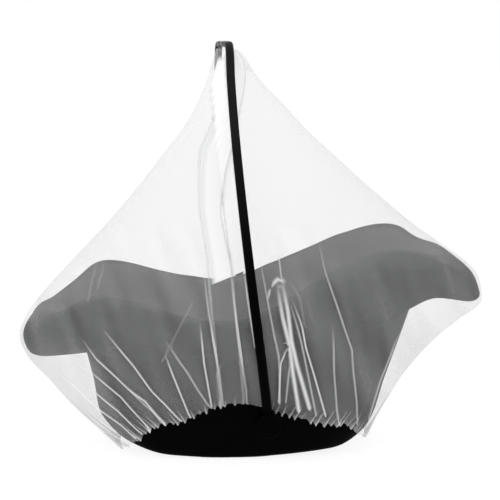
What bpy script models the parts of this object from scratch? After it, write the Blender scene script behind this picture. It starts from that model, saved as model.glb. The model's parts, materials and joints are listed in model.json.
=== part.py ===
"""Mosquito net tented over an infant carrier, as solids at real size.

Metres, +Z up, +X towards the head end, +Y towards the far side. The origin is on the floor under
the middle of the whole. The net hangs in two loops from the carrier's raised handle, fans out to
the two ends of the seat, wraps them and is gathered round the rocker by its elastic hem.
"""
import math
from collections import namedtuple

import bmesh
import bpy
import numpy as np
from mathutils import Matrix, Vector

# Driving sizes of the whole
NAME = "mosquito_net_on_infant_carrier"
STAND_NAME = "middle_of_the_whole"
HEIGHT = 0.594
CONTACT_GAP = 0.0003
# The pieces are drawn from the middle of the handle's feet, this far from the middle of the whole
MIDDLE_X = 0.0035

# Net cloth
SHEET = 0.0012
FOOT_SAG = 1.22
HEAD_SAG = 1.45
TENT_STEPS = (0.07, 0.16, 0.27, 0.40, 0.54, 0.69, 0.84)
QUARTER_STATIONS = 30
STATIONS_PER_GATHER = 3
HEM_DROP = 0.004

# Pleat in the near side, where the cloth is doubled under from both edges
PLEAT_PITCH = 0.0026
PLEAT_EDGE_SHARE = 0.2
PLEAT_BLEND = 0.16
PLEAT_BLEND_STEPS = 4
# u runs across the pleat from its foot edge to its head edge, layer counts inwards
PleatStation = namedtuple("PleatStation", "u layer")
PLEAT = (
    PleatStation(0.40, 1.0),
    PleatStation(0.46, 0.5),
    PleatStation(0.40, 0.0),
    PleatStation(0.04, 0.0),
    PleatStation(-0.02, -0.5),
    PleatStation(0.04, -1.0),
    PleatStation(0.50, -1.3),
    PleatStation(0.96, -1.0),
    PleatStation(1.02, -0.5),
    PleatStation(0.96, 0.0),
    PleatStation(0.60, 0.0),
    PleatStation(0.54, 0.5),
    PleatStation(0.60, 1.0),
)
# Edges of the pleat, a row for each height
PleatEdge = namedtuple("PleatEdge", "z x_foot_edge x_head_edge")
PLEAT_EDGES = (
    PleatEdge(0.580, -0.047, -0.014),
    PleatEdge(0.530, -0.060, -0.016),
    PleatEdge(0.467, -0.076, -0.031),
    PleatEdge(0.410, -0.083, -0.046),
    PleatEdge(0.358, -0.082, -0.051),
    PleatEdge(0.290, -0.071, -0.037),
    PleatEdge(0.200, -0.064, -0.028),
    PleatEdge(0.100, -0.053, -0.017),
)

# A ring is a level of the cloth or seat: its two ends, half width, squareness of its plan, and its
# height at five places from the foot end to the head end
Ring = namedtuple("Ring", "x_foot x_head y_half square z_foot z_shin z_middle z_shoulder z_head")
RING_PLACES = (-1.0, -0.65, -0.1, 0.75, 1.0)

NET_CREST = (
    Ring(-0.0440, -0.0300, 0.146, 3.0, 0.5835, 0.5835, 0.5835, 0.5835, 0.5835),
    Ring(-0.0475, -0.0215, 0.149, 3.0, 0.5815, 0.5815, 0.5815, 0.5815, 0.5815),
    Ring(-0.0495, -0.0135, 0.152, 3.0, 0.5740, 0.5740, 0.5740, 0.5740, 0.5740),
)
NET_SHOULDER = Ring(-0.0520, -0.0080, 0.1545, 3.0, 0.566, 0.566, 0.566, 0.566, 0.566)
NET_RIM = Ring(-0.318, 0.287, 0.194, 3.0, 0.212, 0.249, 0.212, 0.306, 0.294)
# The last number of a lower row is the depth of its gathers
NET_LOWER = (
    (NET_RIM, 0.0),
    (Ring(-0.334, 0.335, 0.1965, 2.9, 0.190, 0.228, 0.200, 0.280, 0.250), 0.0),
    (Ring(-0.341, 0.348, 0.197, 2.8, 0.168, 0.200, 0.185, 0.245, 0.213), 0.0003),
    (Ring(-0.331, 0.335, 0.193, 2.8, 0.142, 0.168, 0.165, 0.195, 0.192), 0.0012),
    (Ring(-0.300, 0.300, 0.184, 2.8, 0.108, 0.135, 0.145, 0.160, 0.166), 0.0025),
    (Ring(-0.262, 0.258, 0.170, 2.9, 0.068, 0.100, 0.122, 0.118, 0.118), 0.0035),
    (Ring(-0.228, 0.222, 0.155, 3.0, 0.040, 0.070, 0.102, 0.080, 0.070), 0.0042),
    (Ring(-0.197, 0.190, 0.1405, 3.2, 0.022, 0.046, 0.085, 0.050, 0.022), 0.0045),
)

# Seat liner, from its inner floor up over the padded rim to the underside of its bulging ends
SEAT_STATIONS = 48
LINER = (
    Ring(-0.150, 0.115, 0.095, 2.6, 0.066, 0.060, 0.056, 0.060, 0.068),
    Ring(-0.192, 0.160, 0.120, 2.7, 0.090, 0.084, 0.080, 0.100, 0.116),
    Ring(-0.238, 0.214, 0.145, 2.8, 0.145, 0.150, 0.132, 0.185, 0.198),
    Ring(-0.282, 0.256, 0.166, 2.9, 0.200, 0.226, 0.188, 0.280, 0.270),
    Ring(-0.297, 0.270, 0.176, 3.0, 0.212, 0.241, 0.203, 0.298, 0.287),
    Ring(-0.312, 0.281, 0.185, 3.0, 0.207, 0.244, 0.205, 0.301, 0.289),
    Ring(-0.328, 0.327, 0.188, 2.9, 0.188, 0.226, 0.197, 0.276, 0.248),
    Ring(-0.334, 0.341, 0.188, 2.8, 0.168, 0.199, 0.183, 0.243, 0.215),
    Ring(-0.325, 0.333, 0.184, 2.8, 0.147, 0.172, 0.168, 0.205, 0.205),
    Ring(-0.290, 0.296, 0.176, 2.8, 0.138, 0.154, 0.158, 0.196, 0.209),
)
LINER_SIDE_GAP = 0.0012
LINER_LOW_GAP = 0.0040

# Shell: outer rings from its top edge down to the flat it stands on, and its wall
SHELL_WALL = 0.008
SHELL_FLOOR_RING = Ring(-0.155, 0.124, 0.100, 2.7, 0.034, 0.034, 0.034, 0.034, 0.034)
SHELL_LOW_LIFT = 0.006
SHELL = (
    Ring(-0.246, 0.258, 0.169, 2.8, 0.1375, 0.1495, 0.1515, 0.1945, 0.2055),
    Ring(-0.232, 0.228, 0.148, 2.8, 0.095, 0.113, 0.120, 0.138, 0.160),
    Ring(-0.224, 0.204, 0.1340, 2.9, 0.058, 0.066, 0.088, 0.080, 0.100),
    Ring(-0.199, 0.180, 0.1280, 3.0, 0.039, 0.037, 0.052, 0.039, 0.047),
    Ring(-0.171, 0.156, 0.1190, 3.0, 0.029, 0.015, 0.008, 0.019, 0.033),
    Ring(-0.075, 0.035, 0.0980, 3.0, 0.0, 0.0, 0.0, 0.0, 0.0),
)

# Handle: a slim bar bent to a U, its hubs and the bosses that they turn on
BAR_HALF_DEPTH = 0.004
BAR_HALF_WIDTH = 0.0063
BAR_SWELL_AT_FOOT = 1.22
ARM_Y = 0.2085
ARM_FOOT_Y = 0.158
ARM_BEND_LOW = 0.074
ARM_BEND_HIGH = 0.200
BAR_CORNER = 0.060
BEND_STEPS = 9
STRAIGHT_STEPS = 8
CORNER_STEPS = 6
BAR_TOP_X = -0.0385
BAR_FOOT_X = 0.009
BAR_BOW = 1.25
BAR_BOW_TOP = 0.55
PIVOT_X = 0.009
PIVOT_Z = 0.058
HUB_RADIUS = 0.018
HUB_OUTER_Y = 0.166
BOSS_RADIUS = 0.015
BOSS_INNER_Y = 0.1230
BOSS_OUTER_Y = 0.150
ROUND_SIDES = 24

# Hanging loops over the bar
LOOP_Y = 0.062
LOOP_WIDTH = 0.030
LOOP_SHEET = 0.0010
LOOP_FLAT_HALF = 0.0045


def clear_scene():
    """Removes what a new file holds."""
    for old in list(bpy.data.objects):
        bpy.data.objects.remove(old, do_unlink=True)


def make_collection(name):
    """A collection linked to the scene."""
    made = bpy.data.collections.new(name)
    bpy.context.scene.collection.children.link(made)
    return made


def make_material(name, colour, roughness, alpha=1.0):
    """A Principled material of one colour."""
    made = bpy.data.materials.new(name)
    made.use_nodes = True
    shader = made.node_tree.nodes["Principled BSDF"]
    shader.inputs["Base Color"].default_value = (*colour, 1.0)
    shader.inputs["Roughness"].default_value = roughness
    shader.inputs["Metallic"].default_value = 0.0
    shader.inputs["Alpha"].default_value = alpha
    return made


def add_mesh_object(name, mesh, collection, material):
    """An object for a finished mesh, with its material, carried by the empty under the whole."""
    made = bpy.data.objects.new(name, mesh)
    made.parent = bpy.data.objects[STAND_NAME]
    collection.objects.link(made)
    mesh.materials.clear()
    mesh.materials.append(material)
    mesh.shade_smooth()
    mesh.set_sharp_from_angle(angle=math.radians(40))
    return made


def mesh_from(name, points, faces):
    """A mesh whose faces all point outwards."""
    mesh = bpy.data.meshes.new(name)
    mesh.from_pydata([tuple(p) for p in points], [], faces)
    work = bmesh.new()
    work.from_mesh(mesh)
    bmesh.ops.recalc_face_normals(work, faces=work.faces)
    bmesh.ops.triangulate(work, faces=[f for f in work.faces if len(f.verts) > 4])
    work.to_mesh(mesh)
    work.free()
    return mesh


def smooth_step(value):
    """Eases from 0 to 1 with level ends."""
    value = np.clip(value, 0.0, 1.0)
    return value * value * (3.0 - 2.0 * value)


def ring_height(ring, place):
    """Height of a ring at places from -1 at the foot end to 1 at the head end."""
    heights = ring[-len(RING_PLACES):]
    found = np.full_like(place, heights[0])
    for low, high, z_low, z_high in zip(RING_PLACES, RING_PLACES[1:], heights, heights[1:]):
        inside = place >= low
        eased = smooth_step((place - low) / (high - low))
        found = np.where(inside, z_low + (z_high - z_low) * eased, found)
    return found


def ring_from_x(ring, x, side):
    """Points of a ring at given x, on the side given by the sign of side."""
    middle = (ring.x_foot + ring.x_head) / 2
    half = (ring.x_head - ring.x_foot) / 2
    place = np.clip((x - middle) / half, -1.0, 1.0)
    y = ring.y_half * (1.0 - np.abs(place) ** ring.square) ** (1.0 / ring.square)
    return np.stack([x, np.sign(side) * y, ring_height(ring, place)], axis=-1)


def quarter_places(square, count):
    """Places from 1 at an end towards 0 at the side, evenly turned about the middle, without the 0."""
    turn = np.arange(count) * (math.pi / 2) / count
    radius = (np.cos(turn) ** square + np.sin(turn) ** square) ** (-1.0 / square)
    return radius * np.cos(turn)


def side_first(places):
    """The same quarter read from the side: 0 first, and the end itself left to the next quarter."""
    return np.append(places[1:], 0.0)[::-1]


def whole_ring(ring, count):
    """A closed ring of 4 quarters about its own middle, from the head end by the far side."""
    out = quarter_places(ring.square, count // 4)
    middle = (ring.x_foot + ring.x_head) / 2
    half = (ring.x_head - ring.x_foot) / 2
    return np.concatenate([
        ring_from_x(ring, middle + half * out, 1.0),
        ring_from_x(ring, middle - half * side_first(out), 1.0),
        ring_from_x(ring, middle - half * out, -1.0),
        ring_from_x(ring, middle + half * side_first(out), -1.0),
    ])


def loft(name, rings):
    """A closed mesh through rings of equal station counts, with its first and last ring filled."""
    count = len(rings[0])
    points = np.concatenate(rings)
    faces = []
    for row in range(len(rings) - 1):
        for station in range(count):
            following = (station + 1) % count
            low = row * count
            high = low + count
            faces.append((low + station, low + following, high + following, high + station))
    last = (len(rings) - 1) * count
    faces.append(tuple(reversed(range(count))))
    faces.append(tuple(last + station for station in range(count)))
    return mesh_from(name, points, faces)


def blend_rings(low, high, share_x_foot, share_x_head, share):
    """A ring between two others, with its own shares for the two ends' reach."""
    mixed = [a + (b - a) * share for a, b in zip(low, high)]
    made = Ring(*mixed)
    return made._replace(
        x_foot=low.x_foot + (high.x_foot - low.x_foot) * share_x_foot,
        x_head=low.x_head + (high.x_head - low.x_head) * share_x_head,
    )


def net_rows():
    """Every level of the net from its crest to its hem, each with the depth of its gathers."""
    rows = [(ring, 0.0) for ring in NET_CREST]
    rows.append((NET_SHOULDER, 0.0))
    for step in TENT_STEPS:
        ring = blend_rings(NET_SHOULDER, NET_RIM, step ** FOOT_SAG, step ** HEAD_SAG, step)
        rows.append((ring, 0.0))
    rows.extend(NET_LOWER)
    return rows


def pleat_edges_at(ring):
    """The x of the pleat's two edges at a ring, kept on the crest's narrow end."""
    heights = [edge.z for edge in reversed(PLEAT_EDGES)]
    z = ring.z_middle
    x_foot_edge = np.interp(z, heights, [edge.x_foot_edge for edge in reversed(PLEAT_EDGES)])
    x_head_edge = np.interp(z, heights, [edge.x_head_edge for edge in reversed(PLEAT_EDGES)])
    margin = PLEAT_EDGE_SHARE * (ring.x_head - ring.x_foot)
    x_foot_edge = max(x_foot_edge, ring.x_foot + margin)
    x_head_edge = min(x_head_edge, ring.x_head - margin)
    return x_foot_edge, x_head_edge


def gather_wave(count):
    """Gathers round one quarter: a sawtooth of uneven folds, a few stations each."""
    station = np.arange(count)
    fold = station // STATIONS_PER_GATHER
    tooth = np.choose(station % STATIONS_PER_GATHER, (0.0, 1.0, -0.8))
    return tooth * (0.75 + 0.25 * np.sin(2.4 * fold + 0.7))


def net_ring(ring, opening):
    """Points of one level of the net. Opening is 0 at the crest, where the pleat is pressed flat."""
    out = quarter_places(ring.square, QUARTER_STATIONS)
    back = side_first(out)
    x_foot_edge, x_head_edge = pleat_edges_at(ring)
    x_far = (x_foot_edge + x_head_edge) / 2
    flat = np.linspace(0.0, 1.0, len(PLEAT) + 2)[1:-1]
    shares = np.array([station.u for station in PLEAT])
    layers = np.array([station.layer for station in PLEAT])
    pleat_x = x_foot_edge + (x_head_edge - x_foot_edge) * (flat + (shares - flat) * opening)
    points = np.concatenate([
        ring_from_x(ring, x_far + (ring.x_head - x_far) * out, 1.0),
        ring_from_x(ring, x_far + (ring.x_foot - x_far) * back, 1.0),
        ring_from_x(ring, x_foot_edge + (ring.x_foot - x_foot_edge) * out, -1.0),
        ring_from_x(ring, np.array([x_foot_edge]), -1.0),
        ring_from_x(ring, pleat_x, -1.0),
        ring_from_x(ring, x_head_edge + (ring.x_head - x_head_edge) * back, -1.0),
    ])
    beside_foot = np.exp(-(out / PLEAT_BLEND) ** 2)
    beside_head = np.exp(-(back / PLEAT_BLEND) ** 2)
    far_side = np.zeros(2 * QUARTER_STATIONS)
    depth = np.concatenate([far_side, beside_foot, [1.0], layers, beside_head]) * PLEAT_PITCH
    points[:, 1] += depth
    return points


def net_waves():
    """The gather wave of every station round the net, dying out towards the pleat."""
    wave = gather_wave(QUARTER_STATIONS)
    steps_from_pleat = np.arange(QUARTER_STATIONS)[::-1]
    beside = wave * smooth_step(steps_from_pleat / PLEAT_BLEND_STEPS)
    pleat = np.zeros(1 + len(PLEAT))
    return np.concatenate([wave, wave[::-1], beside, pleat, beside[::-1]])


def grid_normals(grid):
    """Unit normals of a grid of rows and closed stations, pointing out of the net."""
    around = np.roll(grid, -1, axis=1) - np.roll(grid, 1, axis=1)
    down = np.gradient(grid, axis=0)
    normal = np.cross(down, around)
    return normal / np.linalg.norm(normal, axis=-1, keepdims=True)


def net_grid():
    """The middle of the net's cloth as a grid of rows from crest to hem."""
    rows = net_rows()
    openings = np.clip(np.arange(len(rows)) / 4.0, 0.0, 1.0)
    grid = np.stack([net_ring(ring, opening) for (ring, _), opening in zip(rows, openings)])
    gathers = np.array([depth for _, depth in rows])
    waves = net_waves()
    normals = grid_normals(grid)
    grid = grid + normals * (gathers[:, None] * waves[None, :])[..., None]
    grid[-1, :, 2] -= HEM_DROP * waves
    return grid


def make_net(collection, material):
    """The net: one sheet with an outer and an inner face, joined along the hem and closed at its crest."""
    grid = net_grid()
    normals = grid_normals(grid)
    normals[0] += np.array([0.0, 0.0, 1.0])
    normals /= np.linalg.norm(normals, axis=-1, keepdims=True)
    outer = grid + normals * SHEET / 2
    inner = grid - normals * SHEET / 2
    crest_z = NET_CREST[0].z_middle
    outer[0, :, 2] = crest_z
    inner[0, :, 2] = crest_z - SHEET
    mesh = loft("net", list(outer) + list(inner[::-1]))
    return add_mesh_object("net", mesh, collection, material)


def inset(ring, wall, lift=0.0):
    """A ring moved in by a wall and up by a lift."""
    raised = [height + lift for height in ring[-len(RING_PLACES):]]
    return Ring(ring.x_foot + wall, ring.x_head - wall, ring.y_half - wall, ring.square, *raised)


def shell_inside():
    """The shell's inner rings from its floor up to its top edge."""
    low = inset(SHELL[3], SHELL_WALL, SHELL_LOW_LIFT)
    return [SHELL_FLOOR_RING, low] + [inset(ring, SHELL_WALL) for ring in reversed(SHELL[:3])]


def make_liner(collection, material):
    """The padded seat liner: a bucket whose rolled rim sits on the shell's top edge and whose floor
    lies on the shell's floor."""
    floor, low, belly, waist, edge = shell_inside()
    rings = list(LINER) + [
        inset(SHELL[0], 0.0, CONTACT_GAP),
        inset(edge, LINER_SIDE_GAP, CONTACT_GAP),
        inset(waist, LINER_LOW_GAP),
        inset(belly, LINER_LOW_GAP),
        inset(low, LINER_LOW_GAP, LINER_SIDE_GAP),
        inset(floor, LINER_LOW_GAP, CONTACT_GAP),
    ]
    mesh = loft("liner", [whole_ring(ring, SEAT_STATIONS) for ring in rings])
    return add_mesh_object("liner", mesh, collection, material)


def bar_object(name, collection, material, radius, y_from, y_to):
    """A round bar along Y between two places."""
    middle = Vector((PIVOT_X, (y_from + y_to) / 2, PIVOT_Z))
    work = bmesh.new()
    bmesh.ops.create_cone(work, cap_ends=True, segments=ROUND_SIDES, radius1=radius, radius2=radius,
                          depth=abs(y_to - y_from))
    bmesh.ops.rotate(work, verts=work.verts, cent=(0, 0, 0), matrix=Matrix.Rotation(math.pi / 2, 3, "X"))
    bmesh.ops.translate(work, verts=work.verts, vec=middle)
    mesh = bpy.data.meshes.new(name)
    work.to_mesh(mesh)
    work.free()
    return add_mesh_object(name, mesh, collection, material)


def join_to(target, tools):
    """Adds a Boolean union of each tool to the target."""
    for tool in tools:
        tool.hide_render = True
        tool.display_type = "WIRE"
        union = target.modifiers.new(f"join {tool.name}", "BOOLEAN")
        union.operation = "UNION"
        union.solver = "EXACT"
        union.object = tool


def make_shell(collection, cutters, material):
    """The moulded shell: a walled bowl on a rocker with a flat middle, and a boss on each side."""
    rings = shell_inside() + list(SHELL)
    mesh = loft("shell", [whole_ring(ring, SEAT_STATIONS) for ring in rings])
    shell = add_mesh_object("shell", mesh, collection, material)
    bosses = [
        bar_object(f"boss_{name}", cutters, material, BOSS_RADIUS, side * BOSS_INNER_Y, side * BOSS_OUTER_Y)
        for name, side in (("far", 1), ("near", -1))
    ]
    join_to(shell, bosses)
    return shell


def arm_y(z):
    """How far out the arm's middle stands at a height: close to the shell low down, then straight."""
    share = np.clip((z - ARM_BEND_LOW) / (ARM_BEND_HIGH - ARM_BEND_LOW), 0.0, 1.0)
    return ARM_FOOT_Y + (ARM_Y - ARM_FOOT_Y) * math.sin(math.pi / 2 * share)


def bar_x(z):
    """The handle's lean and slight bow: x of its middle at a height."""
    share = min(max((BAR_BOW_TOP - z) / (BAR_BOW_TOP - PIVOT_Z), 0.0), 1.0)
    return BAR_TOP_X + (BAR_FOOT_X - BAR_TOP_X) * share ** BAR_BOW


def handle_route():
    """Half of the bar's middle line in y and z, from a hub up to the middle of the crossbar."""
    top_z = HEIGHT - BAR_HALF_DEPTH
    corner_z = top_z - BAR_CORNER
    bend = np.linspace(PIVOT_Z, ARM_BEND_HIGH, BEND_STEPS)
    straight = np.linspace(ARM_BEND_HIGH, corner_z, STRAIGHT_STEPS)[1:]
    route = [(arm_y(z), z) for z in (*bend, *straight)]
    for step in range(1, CORNER_STEPS + 1):
        turn = math.pi / 2 * step / CORNER_STEPS
        y = ARM_Y - BAR_CORNER + BAR_CORNER * math.cos(turn)
        route.append((y, corner_z + BAR_CORNER * math.sin(turn)))
    route.append((0.0, top_z))
    return route


def make_handle(collection, cutters, material):
    """The carrying handle: a flat-sided bar bent to a U in one plane, then leaned, with hubs for feet."""
    half = handle_route()
    route = half + [(-y, z) for y, z in reversed(half[:-1])]
    curve = bpy.data.curves.new("handle_route", "CURVE")
    curve.dimensions = "2D"
    curve.fill_mode = "NONE"
    curve.bevel_depth = BAR_HALF_DEPTH
    curve.bevel_resolution = 1
    curve.extrude = BAR_HALF_WIDTH - BAR_HALF_DEPTH
    curve.use_fill_caps = True
    spline = curve.splines.new("POLY")
    spline.points.add(len(route) - 1)
    top_z = HEIGHT - BAR_HALF_DEPTH
    for point, (y, z) in zip(spline.points, route):
        point.co = (y, z, 0.0, 1.0)
        point.radius = 1.0 + (BAR_SWELL_AT_FOOT - 1.0) * (top_z - z) / (top_z - PIVOT_Z)
    guide = bpy.data.objects.new("handle_guide", curve)
    guide.matrix_world = Matrix(((0, 0, 1, 0), (1, 0, 0, 0), (0, 1, 0, 0), (0, 0, 0, 1)))
    collection.objects.link(guide)
    bpy.context.view_layer.update()
    evaluated = guide.evaluated_get(bpy.context.evaluated_depsgraph_get())
    mesh = bpy.data.meshes.new_from_object(evaluated)
    mesh.transform(guide.matrix_world)
    bpy.data.objects.remove(guide, do_unlink=True)
    work = bmesh.new()
    work.from_mesh(mesh)
    bmesh.ops.remove_doubles(work, verts=work.verts, dist=0.00001)
    for vertex in work.verts:
        vertex.co.x += bar_x(vertex.co.z)
    bmesh.ops.recalc_face_normals(work, faces=work.faces)
    work.to_mesh(mesh)
    work.free()
    handle = add_mesh_object("handle", mesh, collection, material)
    inner_y = BOSS_OUTER_Y + CONTACT_GAP
    hubs = [
        bar_object(f"hub_{name}", cutters, material, HUB_RADIUS, side * inner_y, side * HUB_OUTER_Y)
        for name, side in (("far", 1), ("near", -1))
    ]
    join_to(handle, hubs)
    return handle


def loop_outline(grow):
    """The loop's outline round the bar in x and z: a round top and a flat foot on the crest."""
    bar_z = HEIGHT - BAR_HALF_DEPTH
    radius = BAR_HALF_DEPTH + CONTACT_GAP + grow
    reach = BAR_HALF_WIDTH - BAR_HALF_DEPTH
    foot_z = NET_CREST[0].z_middle + CONTACT_GAP + LOOP_SHEET - grow
    outline = []
    for step in range(9):
        turn = math.pi * step / 8
        shift = reach if step < 4 else -reach if step > 4 else 0.0
        outline.append((BAR_TOP_X + shift + radius * math.cos(turn), bar_z + radius * math.sin(turn)))
    corner = BAR_HALF_WIDTH + CONTACT_GAP + grow
    outline.append((BAR_TOP_X - corner, bar_z - BAR_HALF_DEPTH))
    outline.append((BAR_TOP_X - LOOP_FLAT_HALF - grow / 2, foot_z))
    outline.append((BAR_TOP_X + LOOP_FLAT_HALF + grow / 2, foot_z))
    outline.append((BAR_TOP_X + corner, bar_z - BAR_HALF_DEPTH))
    return outline


def make_loop(name, y_middle, collection, material):
    """A band of the net's cloth round the crossbar, sewn down on the crest."""
    inside = loop_outline(0.0)
    outside = loop_outline(LOOP_SHEET)
    count = len(inside)
    points = []
    for y in (y_middle - LOOP_WIDTH / 2, y_middle + LOOP_WIDTH / 2):
        for outline in (inside, outside):
            points.extend((x, y, z) for x, z in outline)
    faces = []
    for step in range(count):
        following = (step + 1) % count
        for first, second in ((0, 1), (1, 3), (3, 2), (2, 0)):
            faces.append((
                first * count + step,
                first * count + following,
                second * count + following,
                second * count + step,
            ))
    mesh = mesh_from(name, points, faces)
    return add_mesh_object(name, mesh, collection, material)


def main():
    """Builds every piece into the part's collection."""
    clear_scene()
    parts = make_collection(NAME)
    cutters = make_collection("joined tools")
    stand = bpy.data.objects.new(STAND_NAME, None)
    stand.location.x = -MIDDLE_X
    parts.objects.link(stand)
    bpy.context.view_layer.update()
    net_cloth = make_material("net", (0.86, 0.87, 0.88), 0.7, 0.35)
    liner_cloth = make_material("liner_cloth", (0.055, 0.056, 0.060), 0.9)
    shell_plastic = make_material("shell_plastic", (0.012, 0.012, 0.013), 0.45)
    handle_coat = make_material("handle_coat", (0.020, 0.020, 0.021), 0.4)
    make_shell(parts, cutters, shell_plastic)
    make_liner(parts, liner_cloth)
    make_handle(parts, cutters, handle_coat)
    make_net(parts, net_cloth)
    make_loop("loop_near", -LOOP_Y, parts, net_cloth)
    make_loop("loop_far", LOOP_Y, parts, net_cloth)


main()
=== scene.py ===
"""Looks of a mosquito net on its infant carrier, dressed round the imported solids.

Metres, +Z up, +X towards the head end, +Y towards the far side. The net hangs in two loops from the
raised handle, fans out over the seat and is gathered round the rocker. Shapes are worked out as
whole grids of points, and every finish is a shader of its own.
"""
from __future__ import annotations

import json
import logging
import math
from dataclasses import dataclass
from enum import Enum
from typing import NamedTuple, Sequence

import bpy
import numpy as np
from mathutils import Matrix, Vector

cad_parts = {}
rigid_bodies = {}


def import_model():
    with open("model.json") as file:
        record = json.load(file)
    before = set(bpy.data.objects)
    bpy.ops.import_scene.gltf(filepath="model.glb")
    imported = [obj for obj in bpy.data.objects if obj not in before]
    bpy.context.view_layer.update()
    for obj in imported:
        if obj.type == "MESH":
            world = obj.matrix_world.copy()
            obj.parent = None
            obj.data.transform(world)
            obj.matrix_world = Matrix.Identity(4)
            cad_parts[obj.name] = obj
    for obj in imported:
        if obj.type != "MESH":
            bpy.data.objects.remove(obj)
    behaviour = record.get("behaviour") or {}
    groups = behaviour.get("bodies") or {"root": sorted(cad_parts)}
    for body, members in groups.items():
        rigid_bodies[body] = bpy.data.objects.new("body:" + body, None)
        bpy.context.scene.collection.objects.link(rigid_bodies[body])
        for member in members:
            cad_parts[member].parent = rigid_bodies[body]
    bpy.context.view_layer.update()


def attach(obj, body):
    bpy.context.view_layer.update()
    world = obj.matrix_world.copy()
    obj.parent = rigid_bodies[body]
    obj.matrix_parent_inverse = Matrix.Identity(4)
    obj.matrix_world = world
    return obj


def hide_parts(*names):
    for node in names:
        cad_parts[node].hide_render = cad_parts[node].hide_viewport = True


LOG = logging.getLogger("carrier_net")
# The middle of the whole lies this far along x from the zero that the pieces are drawn about
MIDDLE_X = 0.0035
Grid = np.ndarray


class Ring(NamedTuple):
    """A level of cloth or shell: its ends, half width, squareness of plan and five heights."""

    x_foot: float
    x_head: float
    y_half: float
    square: float
    z_foot: float
    z_shin: float
    z_middle: float
    z_shoulder: float
    z_head: float

    def inset(self, wall: float, lift: float = 0.0) -> "Ring":
        """The ring moved in by a wall and up by a lift."""
        heights = [height + lift for height in self[4:]]
        plan = (self.x_foot + wall, self.x_head - wall, self.y_half - wall, self.square)
        return Ring(*plan, *heights)


RING_PLACES = (-1.0, -0.65, -0.1, 0.75, 1.0)


class Side(Enum):
    """The two long sides of the carrier, by the sign of y."""

    NEAR = -1.0
    FAR = 1.0


def smooth_step(value: Grid) -> Grid:
    """Eases from 0 to 1 with level ends: 3 v squared less 2 v cubed."""
    value = np.clip(value, 0.0, 1.0)
    return value * value * (3.0 - 2.0 * value)


def bell(distance: Grid, width: float) -> Grid:
    """A bell curve: e to the minus square of the distance over the width."""
    return np.exp(-((distance / width) ** 2))


def run_along(points: Grid) -> Grid:
    """Running length along a path, from 0 at its first point."""
    steps = np.linalg.norm(np.diff(points, axis=0), axis=1)
    return np.concatenate([[0.0], np.cumsum(steps)])


def smooth_between(knots: Grid, table: Grid, at: Grid) -> Grid:
    """Cubic curves through a table's rows that never overshoot.

    The slope at a knot is the harmonic mean of the slopes on its two sides, or level where they
    turn round; between knots the curve is the cubic with those end values and slopes.

    Args:
        knots: Rising place of each row.
        table: Rows of values.
        at: Places to read.

    Returns:
        One row of values for each place.
    """
    gap = np.diff(knots)[:, None]
    rise = np.diff(table, axis=0) / gap
    product = rise[:-1] * rise[1:]
    total = np.where(product > 0, rise[:-1] + rise[1:], 1.0)
    slope = np.vstack([rise[:1], np.where(product > 0, 2.0 * product / total, 0.0), rise[-1:]])
    span = np.clip(np.searchsorted(knots, at, side="right") - 1, 0, len(knots) - 2)
    width = (knots[span + 1] - knots[span])[:, None]
    share = (at[:, None] - knots[span][:, None]) / width
    square, cube = share ** 2, share ** 3
    return (
        (2 * cube - 3 * square + 1) * table[span]
        + (cube - 2 * square + share) * width * slope[span]
        + (3 * square - 2 * cube) * table[span + 1]
        + (cube - square) * width * slope[span + 1]
    )


def ring_lengths(rings: Sequence[Ring]) -> Grid:
    """Running length down a stack of rings: the mean path of its foot, side and head."""
    rows = np.array(rings)
    foot = np.hypot(np.diff(rows[:, 0]), np.diff(rows[:, 4]))
    head = np.hypot(np.diff(rows[:, 1]), np.diff(rows[:, 8]))
    side = np.hypot(np.diff(rows[:, 2]), np.diff(rows[:, 6]))
    return np.concatenate([[0.0], np.cumsum((foot + head + side) / 3.0)])


def smooth_rings(rings: Sequence[Ring], count: int) -> Grid:
    """A stack of rings resampled at even steps along its own running length."""
    knots = ring_lengths(rings)
    return smooth_between(knots, np.array(rings), np.linspace(0.0, knots[-1], count))


def ring_heights(rows: Grid, place: Grid) -> Grid:
    """Height of each ring at places from -1 at the foot end to 1 at the head end, eased between
    the five heights that the ring names."""
    found = np.broadcast_to(rows[:, 4:5], place.shape).copy()
    for index, (low, high) in enumerate(zip(RING_PLACES, RING_PLACES[1:])):
        z_low, z_high = rows[:, 4 + index, None], rows[:, 5 + index, None]
        eased = smooth_step((place - low) / (high - low))
        found = np.where(place >= low, z_low + (z_high - z_low) * eased, found)
    return found


def ring_points(rows: Grid, x: Grid, side: float) -> Grid:
    """Points of rings at given x: y is the half width times (1 - |place|^n)^(1/n), a rounded
    rectangle of squareness n, and z is the ring's eased height there."""
    middle = (rows[:, 0:1] + rows[:, 1:2]) / 2
    half = (rows[:, 1:2] - rows[:, 0:1]) / 2
    place = np.clip((x - middle) / half, -1.0, 1.0)
    square = rows[:, 3:4]
    y = rows[:, 2:3] * (1.0 - np.abs(place) ** square) ** (1.0 / square)
    return np.stack([x, side * y, ring_heights(rows, place)], axis=-1)


def quarter_places(square: Grid, count: int) -> Grid:
    """Places from 1 at an end towards 0 at the side, evenly turned about the middle: the cosine
    of the turn times (cos^n + sin^n)^(-1/n)."""
    turn = np.arange(count)[None, :] * (math.pi / 2) / count
    radius = (np.cos(turn) ** square + np.sin(turn) ** square) ** (-1.0 / square)
    return radius * np.cos(turn)


def side_first(places: Grid) -> Grid:
    """The same quarter read from its side: 0 first, the end itself left to the next quarter."""
    return np.concatenate([places[:, 1:], np.zeros((len(places), 1))], axis=1)[:, ::-1]


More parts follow.
